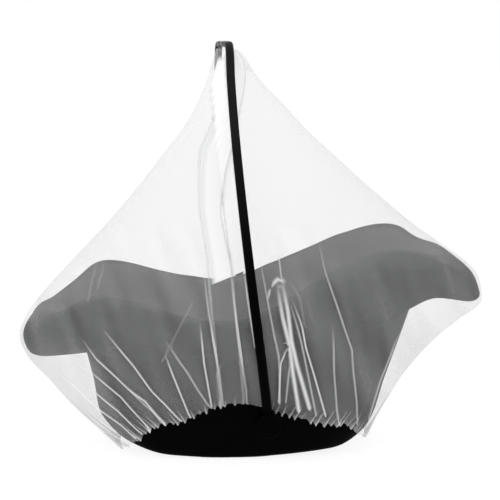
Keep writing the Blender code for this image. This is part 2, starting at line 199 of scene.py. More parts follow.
def whole_rings(rows: Grid, count: int) -> Grid:
    """Closed rings of four quarters from the head end by the far side."""
    out = quarter_places(rows[:, 3:4], count // 4)
    back = side_first(out)
    middle = (rows[:, 0:1] + rows[:, 1:2]) / 2
    half = (rows[:, 1:2] - rows[:, 0:1]) / 2
    return np.concatenate([
        ring_points(rows, middle + half * out, Side.FAR.value),
        ring_points(rows, middle - half * back, Side.FAR.value),
        ring_points(rows, middle - half * out, Side.NEAR.value),
        ring_points(rows, middle + half * back, Side.NEAR.value),
    ], axis=1)


def grid_normals(grid: Grid) -> Grid:
    """Unit normals of rows of closed stations: the step down crossed with the step around."""
    around = np.roll(grid, -1, axis=1) - np.roll(grid, 1, axis=1)
    down = np.gradient(grid, axis=0)
    normal = np.cross(down, around)
    return normal / np.maximum(np.linalg.norm(normal, axis=-1, keepdims=True), 1e-12)


def soft_noise(x: Grid, y: Grid, scale: float, seed: int, waves: int = 7) -> Grid:
    """Smooth unevenness from -1 to 1: a mean of sine waves in seeded directions and phases."""
    random = np.random.default_rng(seed)
    turns = random.uniform(0.0, 2.0 * math.pi, (waves, 2))
    sizes = random.uniform(0.6, 1.7, waves) / scale
    total = np.zeros(np.broadcast(x, y).shape)
    for (turn, phase), size in zip(turns, sizes):
        total += np.sin(size * (x * math.cos(turn) + y * math.sin(turn)) * 2.0 * math.pi + phase)
    return total / math.sqrt(waves * 2.0)


# Meshes

def closed_faces(rows: int, stations: int) -> Grid:
    """Quads between rows of closed stations, each facing out of the tube."""
    row, station = np.meshgrid(np.arange(rows - 1), np.arange(stations), indexing="ij")
    low = row * stations
    after = (station + 1) % stations
    quads = np.stack([low + station, low + stations + station, low + stations + after, low + after])
    return quads.reshape(4, -1).T


def make_object(name: str, points: Grid, faces: Sequence, material: bpy.types.Material,
                sharp: float = 40.0) -> bpy.types.Object:
    """A smooth-shaded object at the origin with one material.

    Args:
        name: Name of the piece.
        points: Points in the drawing frame, which are moved to the row frame here.
        faces: Point numbers of each face.
        material: Its finish.
        sharp: Edges that turn by more than this many degrees stay sharp.

    Returns:
        The linked object.
    """
    mesh = bpy.data.meshes.new(name)
    flat = np.asarray(points, float).reshape(-1, 3) - np.array([MIDDLE_X, 0.0, 0.0])
    mesh.from_pydata(flat.tolist(), [], [list(face) for face in faces])
    mesh.materials.append(material)
    mesh.shade_smooth()
    mesh.set_sharp_from_angle(angle=math.radians(sharp))
    made = bpy.data.objects.new(name, mesh)
    bpy.context.scene.collection.objects.link(made)
    return made


def closed_object(name: str, grid: Grid, material: bpy.types.Material, sharp: float = 40.0
                  ) -> bpy.types.Object:
    """A closed solid from rows of closed stations, each end drawn in to a middle point."""
    rows, stations = grid.shape[:2]
    points = np.concatenate([grid.reshape(-1, 3), grid[0].mean(axis=0)[None],
                             grid[-1].mean(axis=0)[None]])
    first, last = rows * stations, rows * stations + 1
    here = np.arange(stations)
    after = (here + 1) % stations
    base = (rows - 1) * stations
    start = np.stack([np.full(stations, first), here, after], axis=1)
    end = np.stack([np.full(stations, last), base + after, base + here], axis=1)
    faces = closed_faces(rows, stations).tolist() + start.tolist() + end.tolist()
    return make_object(name, points, faces, material, sharp)


def add_uv(piece: bpy.types.Object, uv: Grid) -> None:
    """Gives a piece a UV map in metres, from pairs for its rows of stations, the first station
    given again at the end of each row."""
    corners = np.stack([uv[:-1, :-1], uv[1:, :-1], uv[1:, 1:], uv[:-1, 1:]], axis=2)
    layer = piece.data.uv_layers.new(name="cloth")
    layer.data.foreach_set("uv", corners.astype(np.float32).ravel())


def add_value(piece: bpy.types.Object, name: str, values: Grid) -> None:
    """Gives a piece a named number at each point, which its material reads."""
    layer = piece.data.attributes.new(name, "FLOAT", "POINT")
    layer.data.foreach_set("value", values.astype(np.float32).ravel())


# Shader maths

class Value:
    """A socket with arithmetic: every operator adds its Math node."""

    def __init__(self, graph: "Graph", socket: bpy.types.NodeSocket) -> None:
        """Keeps the graph that the socket belongs to."""
        self.graph = graph
        self.socket = socket

    def _math(self, operation: str, *terms: "Value | float") -> "Value":
        """A Math node of the named operation on these terms."""
        return self.graph.node("ShaderNodeMath", {"operation": operation}, dict(enumerate(terms)))

    def __add__(self, other: "Value | float") -> "Value":
        """Sum."""
        return self._math("ADD", self, other)

    __radd__ = __add__

    def __sub__(self, other: "Value | float") -> "Value":
        """Difference."""
        return self._math("SUBTRACT", self, other)

    def __rsub__(self, other: float) -> "Value":
        """A number less this value."""
        return self._math("SUBTRACT", other, self)

    def __mul__(self, other: "Value | float") -> "Value":
        """Product."""
        return self._math("MULTIPLY", self, other)

    def __truediv__(self, other: "Value | float") -> "Value":
        """Quotient."""
        return self._math("DIVIDE", self, other)

    def __pow__(self, other: "Value | float") -> "Value":
        """Power."""
        return self._math("POWER", self, other)

    def at_most(self, other: "Value | float") -> "Value":
        """The smaller of two values."""
        return self._math("MINIMUM", self, other)

    def at_least(self, other: "Value | float") -> "Value":
        """The larger of two values."""
        return self._math("MAXIMUM", self, other)

    def size(self) -> "Value":
        """The value without its sign."""
        return self._math("ABSOLUTE", self)

    def fraction(self) -> "Value":
        """What is left above its whole number."""
        return self._math("FRACT", self)

    def wave(self) -> "Value":
        """Its sine."""
        return self._math("SINE", self)

    def raised(self) -> "Value":
        """The number e raised to it."""
        return self._math("EXPONENT", self)

    def eased(self, low: float, high: float) -> "Value":
        """Rises smoothly from 0 at low to 1 at high."""
        return self.graph.node(
            "ShaderNodeMapRange", {"interpolation_type": "SMOOTHSTEP"},
            {"Value": self, "From Min": low, "From Max": high, "To Min": 0.0, "To Max": 1.0},
        )


class Graph:
    """One material's nodes, with a Principled shader at its end."""

    def __init__(self, name: str) -> None:
        """Makes a material with its output only."""
        self.material = bpy.data.materials.new(name)
        self.material.use_nodes = True
        self.tree = self.material.node_tree
        self.tree.nodes.clear()
        self.output = self.tree.nodes.new("ShaderNodeOutputMaterial")

    def node(self, kind: str, settings: dict | None = None, inputs: dict | None = None,
             output: str | int = 0) -> Value:
        """Adds any node.

        Args:
            kind: The node's type name.
            settings: Its properties, set first.
            inputs: Values or links by socket name or number.
            output: The socket to return.

        Returns:
            The wrapped output socket.
        """
        made = self.tree.nodes.new(kind)
        for key, value in (settings or {}).items():
            setattr(made, key, value)
        for key, value in (inputs or {}).items():
            if isinstance(value, Value):
                self.tree.links.new(value.socket, made.inputs[key])
            else:
                made.inputs[key].default_value = value
        return Value(self, made.outputs[output])

    def place(self) -> Value:
        """The point in the object's own metres."""
        return self.node("ShaderNodeTexCoord", output="Object")

    def number(self, name: str) -> Value:
        """A number that the mesh carries at its points."""
        return self.node("ShaderNodeAttribute", {"attribute_name": name}, output="Fac")

    def axes(self, vector: Value) -> tuple[Value, Value, Value]:
        """The three numbers of a vector."""
        first = self.node("ShaderNodeSeparateXYZ", inputs={0: vector})
        node = first.socket.node
        return first, Value(self, node.outputs[1]), Value(self, node.outputs[2])

    def noise(self, scale: float, detail: float = 3.0, vector: Value | None = None) -> Value:
        """Soft noise from 0 to 1 with features about 1 / scale metres wide."""
        return self.node("ShaderNodeTexNoise", inputs={
            "Vector": vector or self.place(), "Scale": scale, "Detail": detail})

    def blend(self, share: Value, low: tuple, high: tuple) -> Value:
        """A colour between two others."""
        made = self.tree.nodes.new("ShaderNodeMix")
        made.data_type = "RGBA"
        for key, value in (("A", low), ("B", high)):
            socket = next(s for s in made.inputs if s.name == key and s.type == "RGBA")
            socket.default_value = (*value, 1.0)
        self.tree.links.new(share.socket, made.inputs[0])
        return Value(self, next(s for s in made.outputs if s.type == "RGBA"))

    def bump(self, height: Value, distance: float) -> Value:
        """A normal raised by a height of 0 to 1 times a distance."""
        return self.node("ShaderNodeBump", inputs={"Height": height, "Distance": distance,
                                                   "Strength": 1.0})

    def surface(self, inputs: dict) -> Value:
        """A Principled shader with these sockets."""
        return self.node("ShaderNodeBsdfPrincipled", inputs=inputs)

    def finish(self, shader: Value) -> bpy.types.Material:
        """Joins a shader to the output and returns the material."""
        self.tree.links.new(shader.socket, self.output.inputs["Surface"])
        return self.material


@dataclass(frozen=True)
class NetFinish:
    """Sheer white hexagonal mesh, denser wherever the cloth lies in folds; painted whiter where it
    lies in a bunch or fold and at glancing angles, as painted highlight and sheen.
    """

    colour: tuple[float, float, float] = (0.665, 0.67, 0.675)
    # Painted highlight: the whiter colour that bunched cloth and folds are painted in
    painted_white_colour: tuple[float, float, float] = (0.99, 0.99, 0.99)
    # Painted sheen: the whiter colour that the net turns to at glancing angles
    painted_sheen_colour: tuple[float, float, float] = (0.88, 0.88, 0.88)
    pitch: float = 0.0012
    thread_half: float = 0.00018
    thread_cover: float = 0.28
    hole_cover: float = 0.108
    bunched_layers: float = 24.0
    # How much whiter the folds are painted, and the most, as painted highlight
    folded_painted_white: float = 0.12
    painted_white_most: float = 0.8
    edge_softness: float = 0.0005
    glancing: float = 0.14
    glancing_power: float = 5.0
    roughness: float = 0.75
    specular: float = 0.1
    # Where a thread's edge starts and ends, in shares of its half width
    thread_edge: tuple[float, float] = (0.6, 1.5)

    def build(self) -> bpy.types.Material:
        """Cover is that of threads or holes by the nearest side of a hexagon on the cloth's own
        metres. Laid n times it is 1 - (1 - cover)^n. The mesh gives n for broad folds, and for each
        set of narrow folds a distance s across them and their extra layers, laid as e^(-s^2).
        Bunched cloth has more layers still, down to a clean edge over the rim, and like the folds
        it is painted whiter than the rest of the net, a painted highlight.
        """
        graph = Graph("net_cloth")
        across, along, _ = graph.axes(graph.node("ShaderNodeUVMap", {"uv_map": "cloth"}))
        edge = self._hexagon_edge(across, along)
        threads = 1.0 - edge.eased(*(self.thread_half * share for share in self.thread_edge))
        cover = self.hole_cover + threads * (self.thread_cover - self.hole_cover)
        layers = graph.number("layers")
        folded = 0.0
        for name in FOLD_SETS:
            across_fold = graph.number(name)
            shape = (across_fold * across_fold * -1.0).raised()
            folded = graph.number(f"{name}_layers") * shape + folded
        over_rim = graph.number("over_rim").eased(-self.edge_softness, self.edge_softness)
        bunched_painted_white = graph.number("bunched_painted_white") * over_rim
        alpha = 1.0 - (1.0 - cover) ** (layers + folded + bunched_painted_white * self.bunched_layers)
        # Painted highlight: the share of the whiter colour, from the bunching mask and the folds
        bunched_painted_white = bunched_painted_white.at_least((folded * self.folded_painted_white).at_most(self.painted_white_most))
        cloth = graph.surface({
            "Base Color": graph.blend(bunched_painted_white, self.colour, self.painted_white_colour),
            "Roughness": self.roughness, "Alpha": alpha, "Specular IOR Level": self.specular,
        })
        # Painted sheen: an opaque copy of the net painted whiter than the cloth, mixed in at
        # glancing angles
        turned = graph.surface({"Base Color": (*self.painted_sheen_colour, 1.0), "Roughness": 0.8,
                                "Specular IOR Level": self.specular})
        facing = graph.node("ShaderNodeLayerWeight", inputs={"Blend": 0.5}, output="Facing")
        sheen = (facing ** self.glancing_power) * self.glancing
        mixed = graph.node("ShaderNodeMixShader", inputs={0: sheen, 1: cloth, 2: turned})
        return graph.finish(mixed)

    def _hexagon_edge(self, across: Value, along: Value) -> Value:
        """Distance to the nearest side of a grid of hexagons: half the pitch less the largest of
        the point's three components about the nearer of two staggered lattices of centres."""
        tall = self.pitch * math.sqrt(3.0)

        def about(shift: float) -> tuple[Value, Value]:
            """The point about the centres of one lattice, folded into one quarter."""
            x = (across / self.pitch + shift).fraction()
            y = (along / tall + shift).fraction()
            return ((x - 0.5) * self.pitch).size(), ((y - 0.5) * tall).size()

        def reach(pair: tuple[Value, Value]) -> Value:
            """How far a folded point is from its centre across the hexagon's sides."""
            x, y = pair
            return x.at_least(x * 0.5 + y * (math.sqrt(3.0) / 2.0))

        return self.pitch / 2.0 - reach(about(0.0)).at_most(reach(about(0.5)))


@dataclass(frozen=True)
class PaddingFinish:
    """Dark woven cloth over padding, with painted light: the seat's inside is painted paler, as
    lit, than its outer wall, painted dark as shaded.
    """

    # Painted light: a shaded copy of the cloth for the outer wall and a lit, much paler copy for
    # the seat's inside
    painted_shade_outside: tuple[float, float, float] = (0.004, 0.004, 0.004)
    inside: tuple[float, float, float] = (0.170, 0.170, 0.175)
    yarn: float = 0.0011
    specular: float = 0.05
    relief: float = 0.00025

    def build(self) -> bpy.types.Material:
        """Colour drifts with soft noise and turns from the painted shade of the outer wall to the
        painted light of the inside; the weave is the product of two sine waves.
        """
        graph = Graph("liner_cloth")
        place = graph.place()
        x, y, z = graph.axes(place)
        turn = 2.0 * math.pi / self.yarn
        warp = ((x + y) * (turn * 0.707)).wave()
        weft = ((x * 0.5 - y * 0.5 + z) * (turn * 0.8)).wave()
        weave = (warp * weft) * 0.5 + 0.5
        patches = graph.noise(9.0, 4.0)
        # Painted light: 1 on the lit inside, 0 on the shaded outer wall
        painted_lit_share = graph.number("inside")
        shade = (patches * 0.7 + weave * 0.3).eased(0.2, 0.8) * 0.3 + 0.7
        colour = graph.blend(painted_lit_share * shade, self.painted_shade_outside, self.inside)
        return graph.finish(graph.surface({
            "Base Color": colour, "Roughness": 0.95 - patches * 0.1,
            "Specular IOR Level": self.specular,
            "Normal": graph.bump(weave * 0.7 + graph.noise(900.0, 2.0) * 0.3, self.relief),
        }))


@dataclass(frozen=True)
class MouldedFinish:
    """Black moulded plastic with a fine spark texture and slight scuffs low down."""

    low: tuple[float, float, float] = (0.0004, 0.0004, 0.0005)
    high: tuple[float, float, float] = (0.0030, 0.0030, 0.0033)
    scuffs_below: float = 0.06
    stretch: float = 6.0
    specular: float = 0.015
    relief: float = 0.00006

    def build(self) -> bpy.types.Material:
        """Grain is fine noise in the bump; scuffs are stretched noise below the waist."""
        graph = Graph("shell_plastic")
        place = graph.place()
        _, _, z = graph.axes(place)
        low = 1.0 - z.eased(0.0, self.scuffs_below)
        stretched = graph.node("ShaderNodeMapping", inputs={
            "Vector": place, "Scale": (1.0, 1.0, self.stretch)})
        scuffs = graph.noise(70.0, 6.0, stretched).eased(0.62, 0.74) * low
        return graph.finish(graph.surface({
            "Base Color": graph.blend(scuffs * 0.5 + graph.noise(5.0) * 0.3, self.low, self.high),
            "Roughness": 0.52 + scuffs * 0.2 + graph.noise(14.0) * 0.06,
            "Specular IOR Level": self.specular,
            "Normal": graph.bump(graph.noise(1500.0, 1.0), self.relief),
        }))


@dataclass(frozen=True)
class CoatFinish:
    """The handle's soft black coat, painted paler towards its top as painted highlight."""

    low: tuple[float, float, float] = (0.0006, 0.0006, 0.0007)
    high: tuple[float, float, float] = (0.0140, 0.0140, 0.0145)
    pale_from: float = 0.20
    pale_to: float = 0.58
    pale_power: float = 1.6
    specular: float = 0.015
    relief: float = 0.00005

    def build(self) -> bpy.types.Material:
        """Painted highlight: paleness rises with height and with soft blotches; its bump is a fine
        orange skin.
        """
        graph = Graph("handle_coat")
        _, _, z = graph.axes(graph.place())
        height = z.eased(self.pale_from, self.pale_to)
        # Painted highlight: paler the higher the coat stands, broken by soft blotches
        painted_top_light = height * (0.75 + graph.noise(30.0) * 0.5)
        return graph.finish(graph.surface({
            "Base Color": graph.blend(painted_top_light ** self.pale_power, self.low, self.high),
            "Roughness": 0.5 - height * 0.12 + graph.noise(60.0) * 0.06,
            "Specular IOR Level": self.specular,
            "Normal": graph.bump(graph.noise(1100.0, 2.0), self.relief),
        }))


@dataclass(frozen=True)
class FloorFinish:
    """Plain pale studio floor."""

    colour: tuple[float, float, float] = (0.22, 0.22, 0.22)
    glow: float = 0.88

    def build(self) -> bpy.types.Material:
        """Pale paint with a little glow, so that the floor stays as light as the wall."""
        graph = Graph("studio_floor")
        return graph.finish(graph.surface({
            "Base Color": (*self.colour, 1.0), "Roughness": 1.0, "Specular IOR Level": 0.0,
            "Emission Color": (1.0, 1.0, 1.0, 1.0), "Emission Strength": self.glow,
        }))


# The net

class Crease(NamedTuple):
    """A fold in the near wall: a path of (x, z) down to the hem and its cross section."""

    path: tuple[tuple[float, float], ...]
    rise: float
    width: float
    layers: float


SHARP, SOFT, FAINT = (0.0026, 0.0011, 6.0), (0.0020, 0.0013, 2.8), (0.0006, 0.0018, 0.55)
BROAD = (0.0036, 0.0024, 6.5)
# Sets of narrow folds, each laid by the finish from its own distance across them
FOLD_SETS = ("fold_a", "fold_b", "fold_c", "fold_d", "fold_e", "gather")
FOLD_REACH = 4.0
# The folds that show in the near wall, from the foot end to the head end, top to bottom
CREASES = (
    Crease(((-0.276, 0.131), (-0.246, 0.103), (-0.223, 0.079), (-0.191, 0.053),
            (-0.170, 0.031)), *SHARP),
    Crease(((-0.240, 0.060), (-0.207, 0.036), (-0.183, 0.022)), *SOFT),
    Crease(((-0.236, 0.116), (-0.225, 0.104), (-0.195, 0.077), (-0.161, 0.036)), *SHARP),
    Crease(((-0.236, 0.142), (-0.225, 0.131), (-0.190, 0.100), (-0.161, 0.061),
            (-0.147, 0.042)), *SHARP),
    Crease(((-0.240, 0.183), (-0.223, 0.158), (-0.181, 0.115), (-0.156, 0.095),
            (-0.128, 0.057)), *SHARP),
    Crease(((-0.181, 0.115), (-0.143, 0.075), (-0.134, 0.060)), *SOFT),
    Crease(((-0.210, 0.197), (-0.172, 0.149), (-0.147, 0.112), (-0.128, 0.090),
            (-0.104, 0.058)), *SHARP),
    Crease(((-0.128, 0.166), (-0.113, 0.124), (-0.093, 0.065)), *SHARP),
    Crease(((-0.126, 0.184), (-0.098, 0.141), (-0.083, 0.112), (-0.068, 0.085),
            (-0.059, 0.073)), *SOFT),
    Crease(((-0.080, 0.208), (-0.075, 0.155), (-0.063, 0.082)), *SHARP),
    Crease(((-0.075, 0.285), (-0.069, 0.228), (-0.063, 0.192), (-0.054, 0.141),
            (-0.047, 0.084)), *SOFT),
    Crease(((-0.039, 0.285), (-0.033, 0.230), (-0.026, 0.176), (-0.015, 0.109),
            (-0.013, 0.087)), *SOFT),
    Crease(((-0.020, 0.285), (-0.013, 0.230), (-0.005, 0.177)), *SHARP),
    Crease(((0.002, 0.300), (0.012, 0.243), (0.021, 0.194), (0.028, 0.163), (0.033, 0.088)), *SOFT),
    Crease(((0.012, 0.243), (0.020, 0.265), (0.027, 0.270), (0.032, 0.269)), *SHARP),
    Crease(((0.032, 0.269), (0.040, 0.227), (0.045, 0.186), (0.054, 0.149),
            (0.075, 0.080)), *BROAD),
    Crease(((0.027, 0.310), (0.032, 0.269)), *SOFT),
    Crease(((0.026, 0.262), (0.033, 0.217), (0.041, 0.184), (0.049, 0.135),
            (0.060, 0.077)), *BROAD),
    Crease(((0.041, 0.180), (0.031, 0.152), (0.031, 0.090)), *SHARP),
    Crease(((0.044, 0.155), (0.041, 0.090)), *SOFT),
    Crease(((0.041, 0.272), (0.057, 0.243), (0.063, 0.206)), *FAINT),
    Crease(((0.043, 0.240), (0.058, 0.186), (0.069, 0.138), (0.085, 0.069)), *SOFT),
    Crease(((0.047, 0.240), (0.059, 0.207), (0.065, 0.176), (0.079, 0.132),
            (0.099, 0.066)), *SHARP),
    Crease(((0.102, 0.205), (0.107, 0.136), (0.114, 0.079), (0.119, 0.053)), *SOFT),
    Crease(((0.083, 0.325), (0.091, 0.282), (0.106, 0.238), (0.119, 0.200), (0.131, 0.168),
            (0.135, 0.135), (0.144, 0.080), (0.148, 0.046)), *SOFT),
    Crease(((0.200, 0.190), (0.193, 0.172), (0.177, 0.114), (0.166, 0.052)), *SOFT),
    Crease(((-0.084, 0.250), (-0.108, 0.206), (-0.132, 0.158)), *FAINT),
    Crease(((-0.045, 0.165), (-0.057, 0.137), (-0.053, 0.086)), *FAINT),
    Crease(((-0.222, 0.292), (-0.234, 0.240)), *FAINT),
    Crease(((-0.210, 0.293), (-0.221, 0.254)), *FAINT),
)


def from_path(flat: Grid, path: Grid) -> tuple[Grid, Grid, Grid]:
    """Where points lie by a path in x and z.

    Args:
        flat: Points as (x, z).
        path: The path's corners from its top down.

    Returns:
        Distance to the path, its side (1 towards the head end, -1 towards the foot end), and the
        nearest place's share of the path's length.
    """
    spans = np.diff(path, axis=0)
    sizes = np.linalg.norm(spans, axis=1)
    starts = run_along(path)
    best = np.full(flat.shape[:-1], np.inf)
    side, run = np.ones(best.shape), np.zeros(best.shape)
    for start, span, size, before in zip(path, spans, sizes, starts):
        away = flat - start
        along = np.clip((away @ span) / size ** 2, 0.0, 1.0)
        distance = np.linalg.norm(away - along[..., None] * span, axis=-1)
        turned = np.where(span[0] * away[..., 1] - span[1] * away[..., 0] >= 0, 1.0, -1.0)
        closer = distance < best
        best = np.where(closer, distance, best)
        side = np.where(closer, turned, side)
        run = np.where(closer, (before + along * size) / starts[-1], run)
    return best, side, run


@dataclass
class MosquitoNet:
    """The net: a sheer cloth from its crest under the handle to its gathered hem."""

    finish: bpy.types.Material
    handle: "CarryHandle"
    crest: tuple[Ring, ...] = (
        Ring(-0.0440, -0.0300, 0.146, 3.0, 0.5835, 0.5835, 0.5835, 0.5835, 0.5835),
        Ring(-0.0475, -0.0215, 0.149, 3.0, 0.5815, 0.5815, 0.5815, 0.5815, 0.5815),
        Ring(-0.0495, -0.0135, 0.152, 3.0, 0.5740, 0.5740, 0.5740, 0.5740, 0.5740),
    )
    shoulder: Ring = Ring(-0.0520, -0.0080, 0.1545, 3.0, 0.566, 0.566, 0.566, 0.566, 0.566)
    rim: Ring = Ring(-0.318, 0.287, 0.194, 3.0, 0.212, 0.249, 0.212, 0.306, 0.294)
    lower: tuple[Ring, ...] = (
        Ring(-0.334, 0.336, 0.1965, 2.9, 0.190, 0.228, 0.200, 0.280, 0.250),
        Ring(-0.341, 0.342, 0.197, 2.8, 0.168, 0.200, 0.185, 0.248, 0.220),
        Ring(-0.331, 0.309, 0.193, 2.8, 0.142, 0.168, 0.165, 0.200, 0.192),
        Ring(-0.301, 0.269, 0.184, 2.8, 0.108, 0.135, 0.145, 0.160, 0.160),
        Ring(-0.266, 0.228, 0.170, 2.9, 0.068, 0.100, 0.122, 0.118, 0.113),
        Ring(-0.233, 0.199, 0.155, 3.0, 0.036, 0.074, 0.102, 0.078, 0.064),
        Ring(-0.193, 0.168, 0.1405, 3.2, 0.009, 0.055, 0.085, 0.049, 0.018),
    )
    # Steps down the tent, with how far its foot and head ends have come out at each
    tent_steps: tuple[float, ...] = (0.07, 0.16, 0.27, 0.40, 0.54, 0.69, 0.84)
    foot_shares: tuple[float, ...] = (0.030, 0.085, 0.163, 0.290, 0.440, 0.615, 0.806)
    head_shares: tuple[float, ...] = (0.048, 0.122, 0.221, 0.338, 0.476, 0.630, 0.798)
    tent_rows: int = 26
    lower_rows: int = 76
    near_stations: int = 300
    far_stations: int = 116
    pleat_stations: int = 66
    pleat_pitch: float = 0.0020
    pleat_blend: float = 0.16
    pleat_width: float = 0.036
    pleat_edge_share: float = 0.2
    opening_rows: float = 0.030
    # u runs across the pleat, layer counts inwards
    pleat: tuple[tuple[float, float], ...] = (
        (0.00, 1.0), (0.08, 1.0), (0.11, 0.5), (0.08, 0.0), (0.03, 0.0),
        (-0.01, -0.5), (0.03, -1.0), (0.50, -1.2), (0.97, -1.0), (1.01, -0.5),
        (0.97, 0.0), (0.93, 0.0), (0.90, 0.5), (0.93, 1.0), (1.00, 1.0),
    )
    # z, x of the foot edge, x of the head edge
    pleat_edges: tuple[tuple[float, float, float], ...] = (
        (0.100, -0.053, -0.017), (0.200, -0.064, -0.028), (0.290, -0.071, -0.037),
        (0.358, -0.082, -0.051), (0.410, -0.083, -0.046), (0.467, -0.076, -0.031),
        (0.530, -0.060, -0.016), (0.580, -0.047, -0.014),
    )
    # A crease's cut at the near side, its easing in, raised width and thinner cloth beside it
    near_from: float = 0.03
    crease_ease: float = 3.0
    crease_head: float = 0.15
    crease_swell: float = 1.6
    crease_thins: float = 0.05
    crease_beside: float = 4.0
    gathers: int = 116
    gather_rise: float = 0.0042
    gather_width: float = 0.0019
    gather_line: float = 0.0010
    gather_layers: float = 3.2
    # How far the gathers reach up: the least, the most over it, and the most on the near side
    gather_reach: tuple[float, float, float] = (0.022, 0.120, 0.045)
    gather_reach_power: float = 2.2
    gather_jitter: float = 0.34
    gather_strength: tuple[float, float] = (0.25, 1.0)
    end_stations: int = 45
    smooth_hem: tuple[float, float] = (-0.026, 0.012)
    smooth_share: float = 0.12
    # The thinner cloth beside a gather: how much, how far off and how wide
    gather_thins: float = 0.22
    gather_beside: float = 0.0035
    gather_beside_width: float = 0.0020
    tip_swell: float = 1.3
    tip_most: float = 1.2
    tip_middle: float = 0.4
    hem_drop: float = 0.0045
    hem_depth: float = 0.008
    hem_band: float = 0.012
    creases: tuple[Crease, ...] = CREASES
    bunched_above: float = 0.2635
    bunched_slant: float = 0.4
    bunched_x: float = -0.0645
    bunched_pleat: float = 0.7
    # The pleat's outer face, by u and layer
    face: tuple[float, float] = (0.08, 0.99)
    face_layer: float = -0.8
    band_half: float = 0.011
    band_edge: float = 0.003
    band_near: float = 0.07
    band_top: float = 0.574
    band_top_edge: float = 0.012
    # Where the photograph is taken from: x, distance in front and z
    eye: tuple[float, float, float] = (-0.146, 2.4, 0.594)
    far_droop: float = 0.018
    droop_from: float = 0.078
    droop_over: float = 0.07
    droop_fades: float = 0.12
    drape_rise: float = 0.0012
    drape_size: float = 0.16
    settles_over: float = 0.06
    crest_layers: float = 2.2
    crest_band: float = 0.0025
    hem_layers: float = 1.6
    layer_range: tuple[float, float] = (0.25, 14.0)
    streak: float = 0.24
    streak_width: float = 0.032
    streak_lean: float = 0.35
    streak_stretch: float = 0.12
    streak_top: float = 0.32
    end_slack: float = 0.45
    end_from: float = 0.18
    end_top: float = 0.19

    def levels(self) -> tuple[Grid, Grid]:
        """Every level of the net.

        Returns:
            Rows of ring sizes from crest to hem, and each row's running length down the cloth.
        """
        rings = [*self.crest, self.shoulder]
        top, base = self.shoulder, self.rim
        for step, foot, head in zip(self.tent_steps, self.foot_shares, self.head_shares):
            mixed = [a + (b - a) * step for a, b in zip(top, base)]
            mixed[0] = top.x_foot + (base.x_foot - top.x_foot) * foot
            mixed[1] = top.x_head + (base.x_head - top.x_head) * head
            rings.append(Ring(*mixed))
        rim_index = len(rings)
        rings += [self.rim, *self.lower]
        knots = ring_lengths(rings)
        at = np.concatenate([
            np.linspace(0.0, knots[3], 8, endpoint=False),
            np.linspace(knots[3], knots[rim_index], self.tent_rows, endpoint=False),
            np.linspace(knots[rim_index], knots[-1], self.lower_rows),
        ])
        return smooth_between(knots, np.array(rings), at), at

    def pleat_line(self) -> Grid:
        """The pleat's section as evenly spaced (u, layer) pairs along its own length."""
        table = np.array(self.pleat)
        real = table * np.array([self.pleat_width, self.pleat_pitch])
        knots = run_along(real)
        at = np.linspace(0.0, knots[-1], self.pleat_stations + 2)[1:-1]
        return smooth_between(knots, table, at)

    def base_grid(self) -> tuple[Grid, Grid]:
        """The cloth before its folds.

        Returns:
            Points by row and station from the head end by the far side, and each row's length.
        """
        rows, lengths = self.levels()
        far_out = quarter_places(rows[:, 3:4], self.far_stations)
        out = quarter_places(rows[:, 3:4], self.near_stations)
        back = side_first(out)
        edges = np.array(self.pleat_edges)
        margin = self.pleat_edge_share * (rows[:, 1] - rows[:, 0])
        foot_edge = np.maximum(np.interp(rows[:, 6], edges[:, 0], edges[:, 1]), rows[:, 0] + margin)
        head_edge = np.minimum(np.interp(rows[:, 6], edges[:, 0], edges[:, 2]), rows[:, 1] - margin)
        foot_edge, head_edge = foot_edge[:, None], head_edge[:, None]
        x_far = (foot_edge + head_edge) / 2
        foot, head = rows[:, 0:1], rows[:, 1:2]
        line = self.pleat_line()
        flat = np.linspace(0.0, 1.0, self.pleat_stations + 2)[1:-1]
        opening = smooth_step(lengths / self.opening_rows)[:, None]
        pleat_x = foot_edge + (head_edge - foot_edge) * (flat + (line[:, 0] - flat) * opening)
        near, far = Side.NEAR.value, Side.FAR.value
        grid = np.concatenate([
            ring_points(rows, x_far + (head - x_far) * far_out, far),
            ring_points(rows, x_far + (foot - x_far) * side_first(far_out), far),
            ring_points(rows, foot_edge + (foot - foot_edge) * out, near),
            ring_points(rows, pleat_x, near),
            ring_points(rows, head_edge + (head - head_edge) * back, near),
        ], axis=1)
        far_side = np.zeros((len(rows), 2 * self.far_stations))
        layer = np.broadcast_to(line[:, 1], (len(rows), self.pleat_stations))
        depth = np.concatenate([far_side, bell(out, self.pleat_blend), layer,
                                bell(back, self.pleat_blend)], axis=1)
        grid[..., 1] += depth * self.pleat_pitch * opening
        droop = smooth_step((grid[..., 1] - self.droop_from) / self.droop_over)
        fades = 1.0 - smooth_step(lengths / self.droop_fades)[:, None]
        grid[..., 2] -= self.far_droop * droop * fades
        return grid, lengths

    def around(self, grid: Grid) -> Grid:
        """Running length round each row from its first station."""
        steps = np.linalg.norm(np.roll(grid, -1, axis=1) - grid, axis=-1)
        return np.concatenate([np.zeros((len(grid), 1)), np.cumsum(steps, axis=1)[:, :-1]], axis=1)

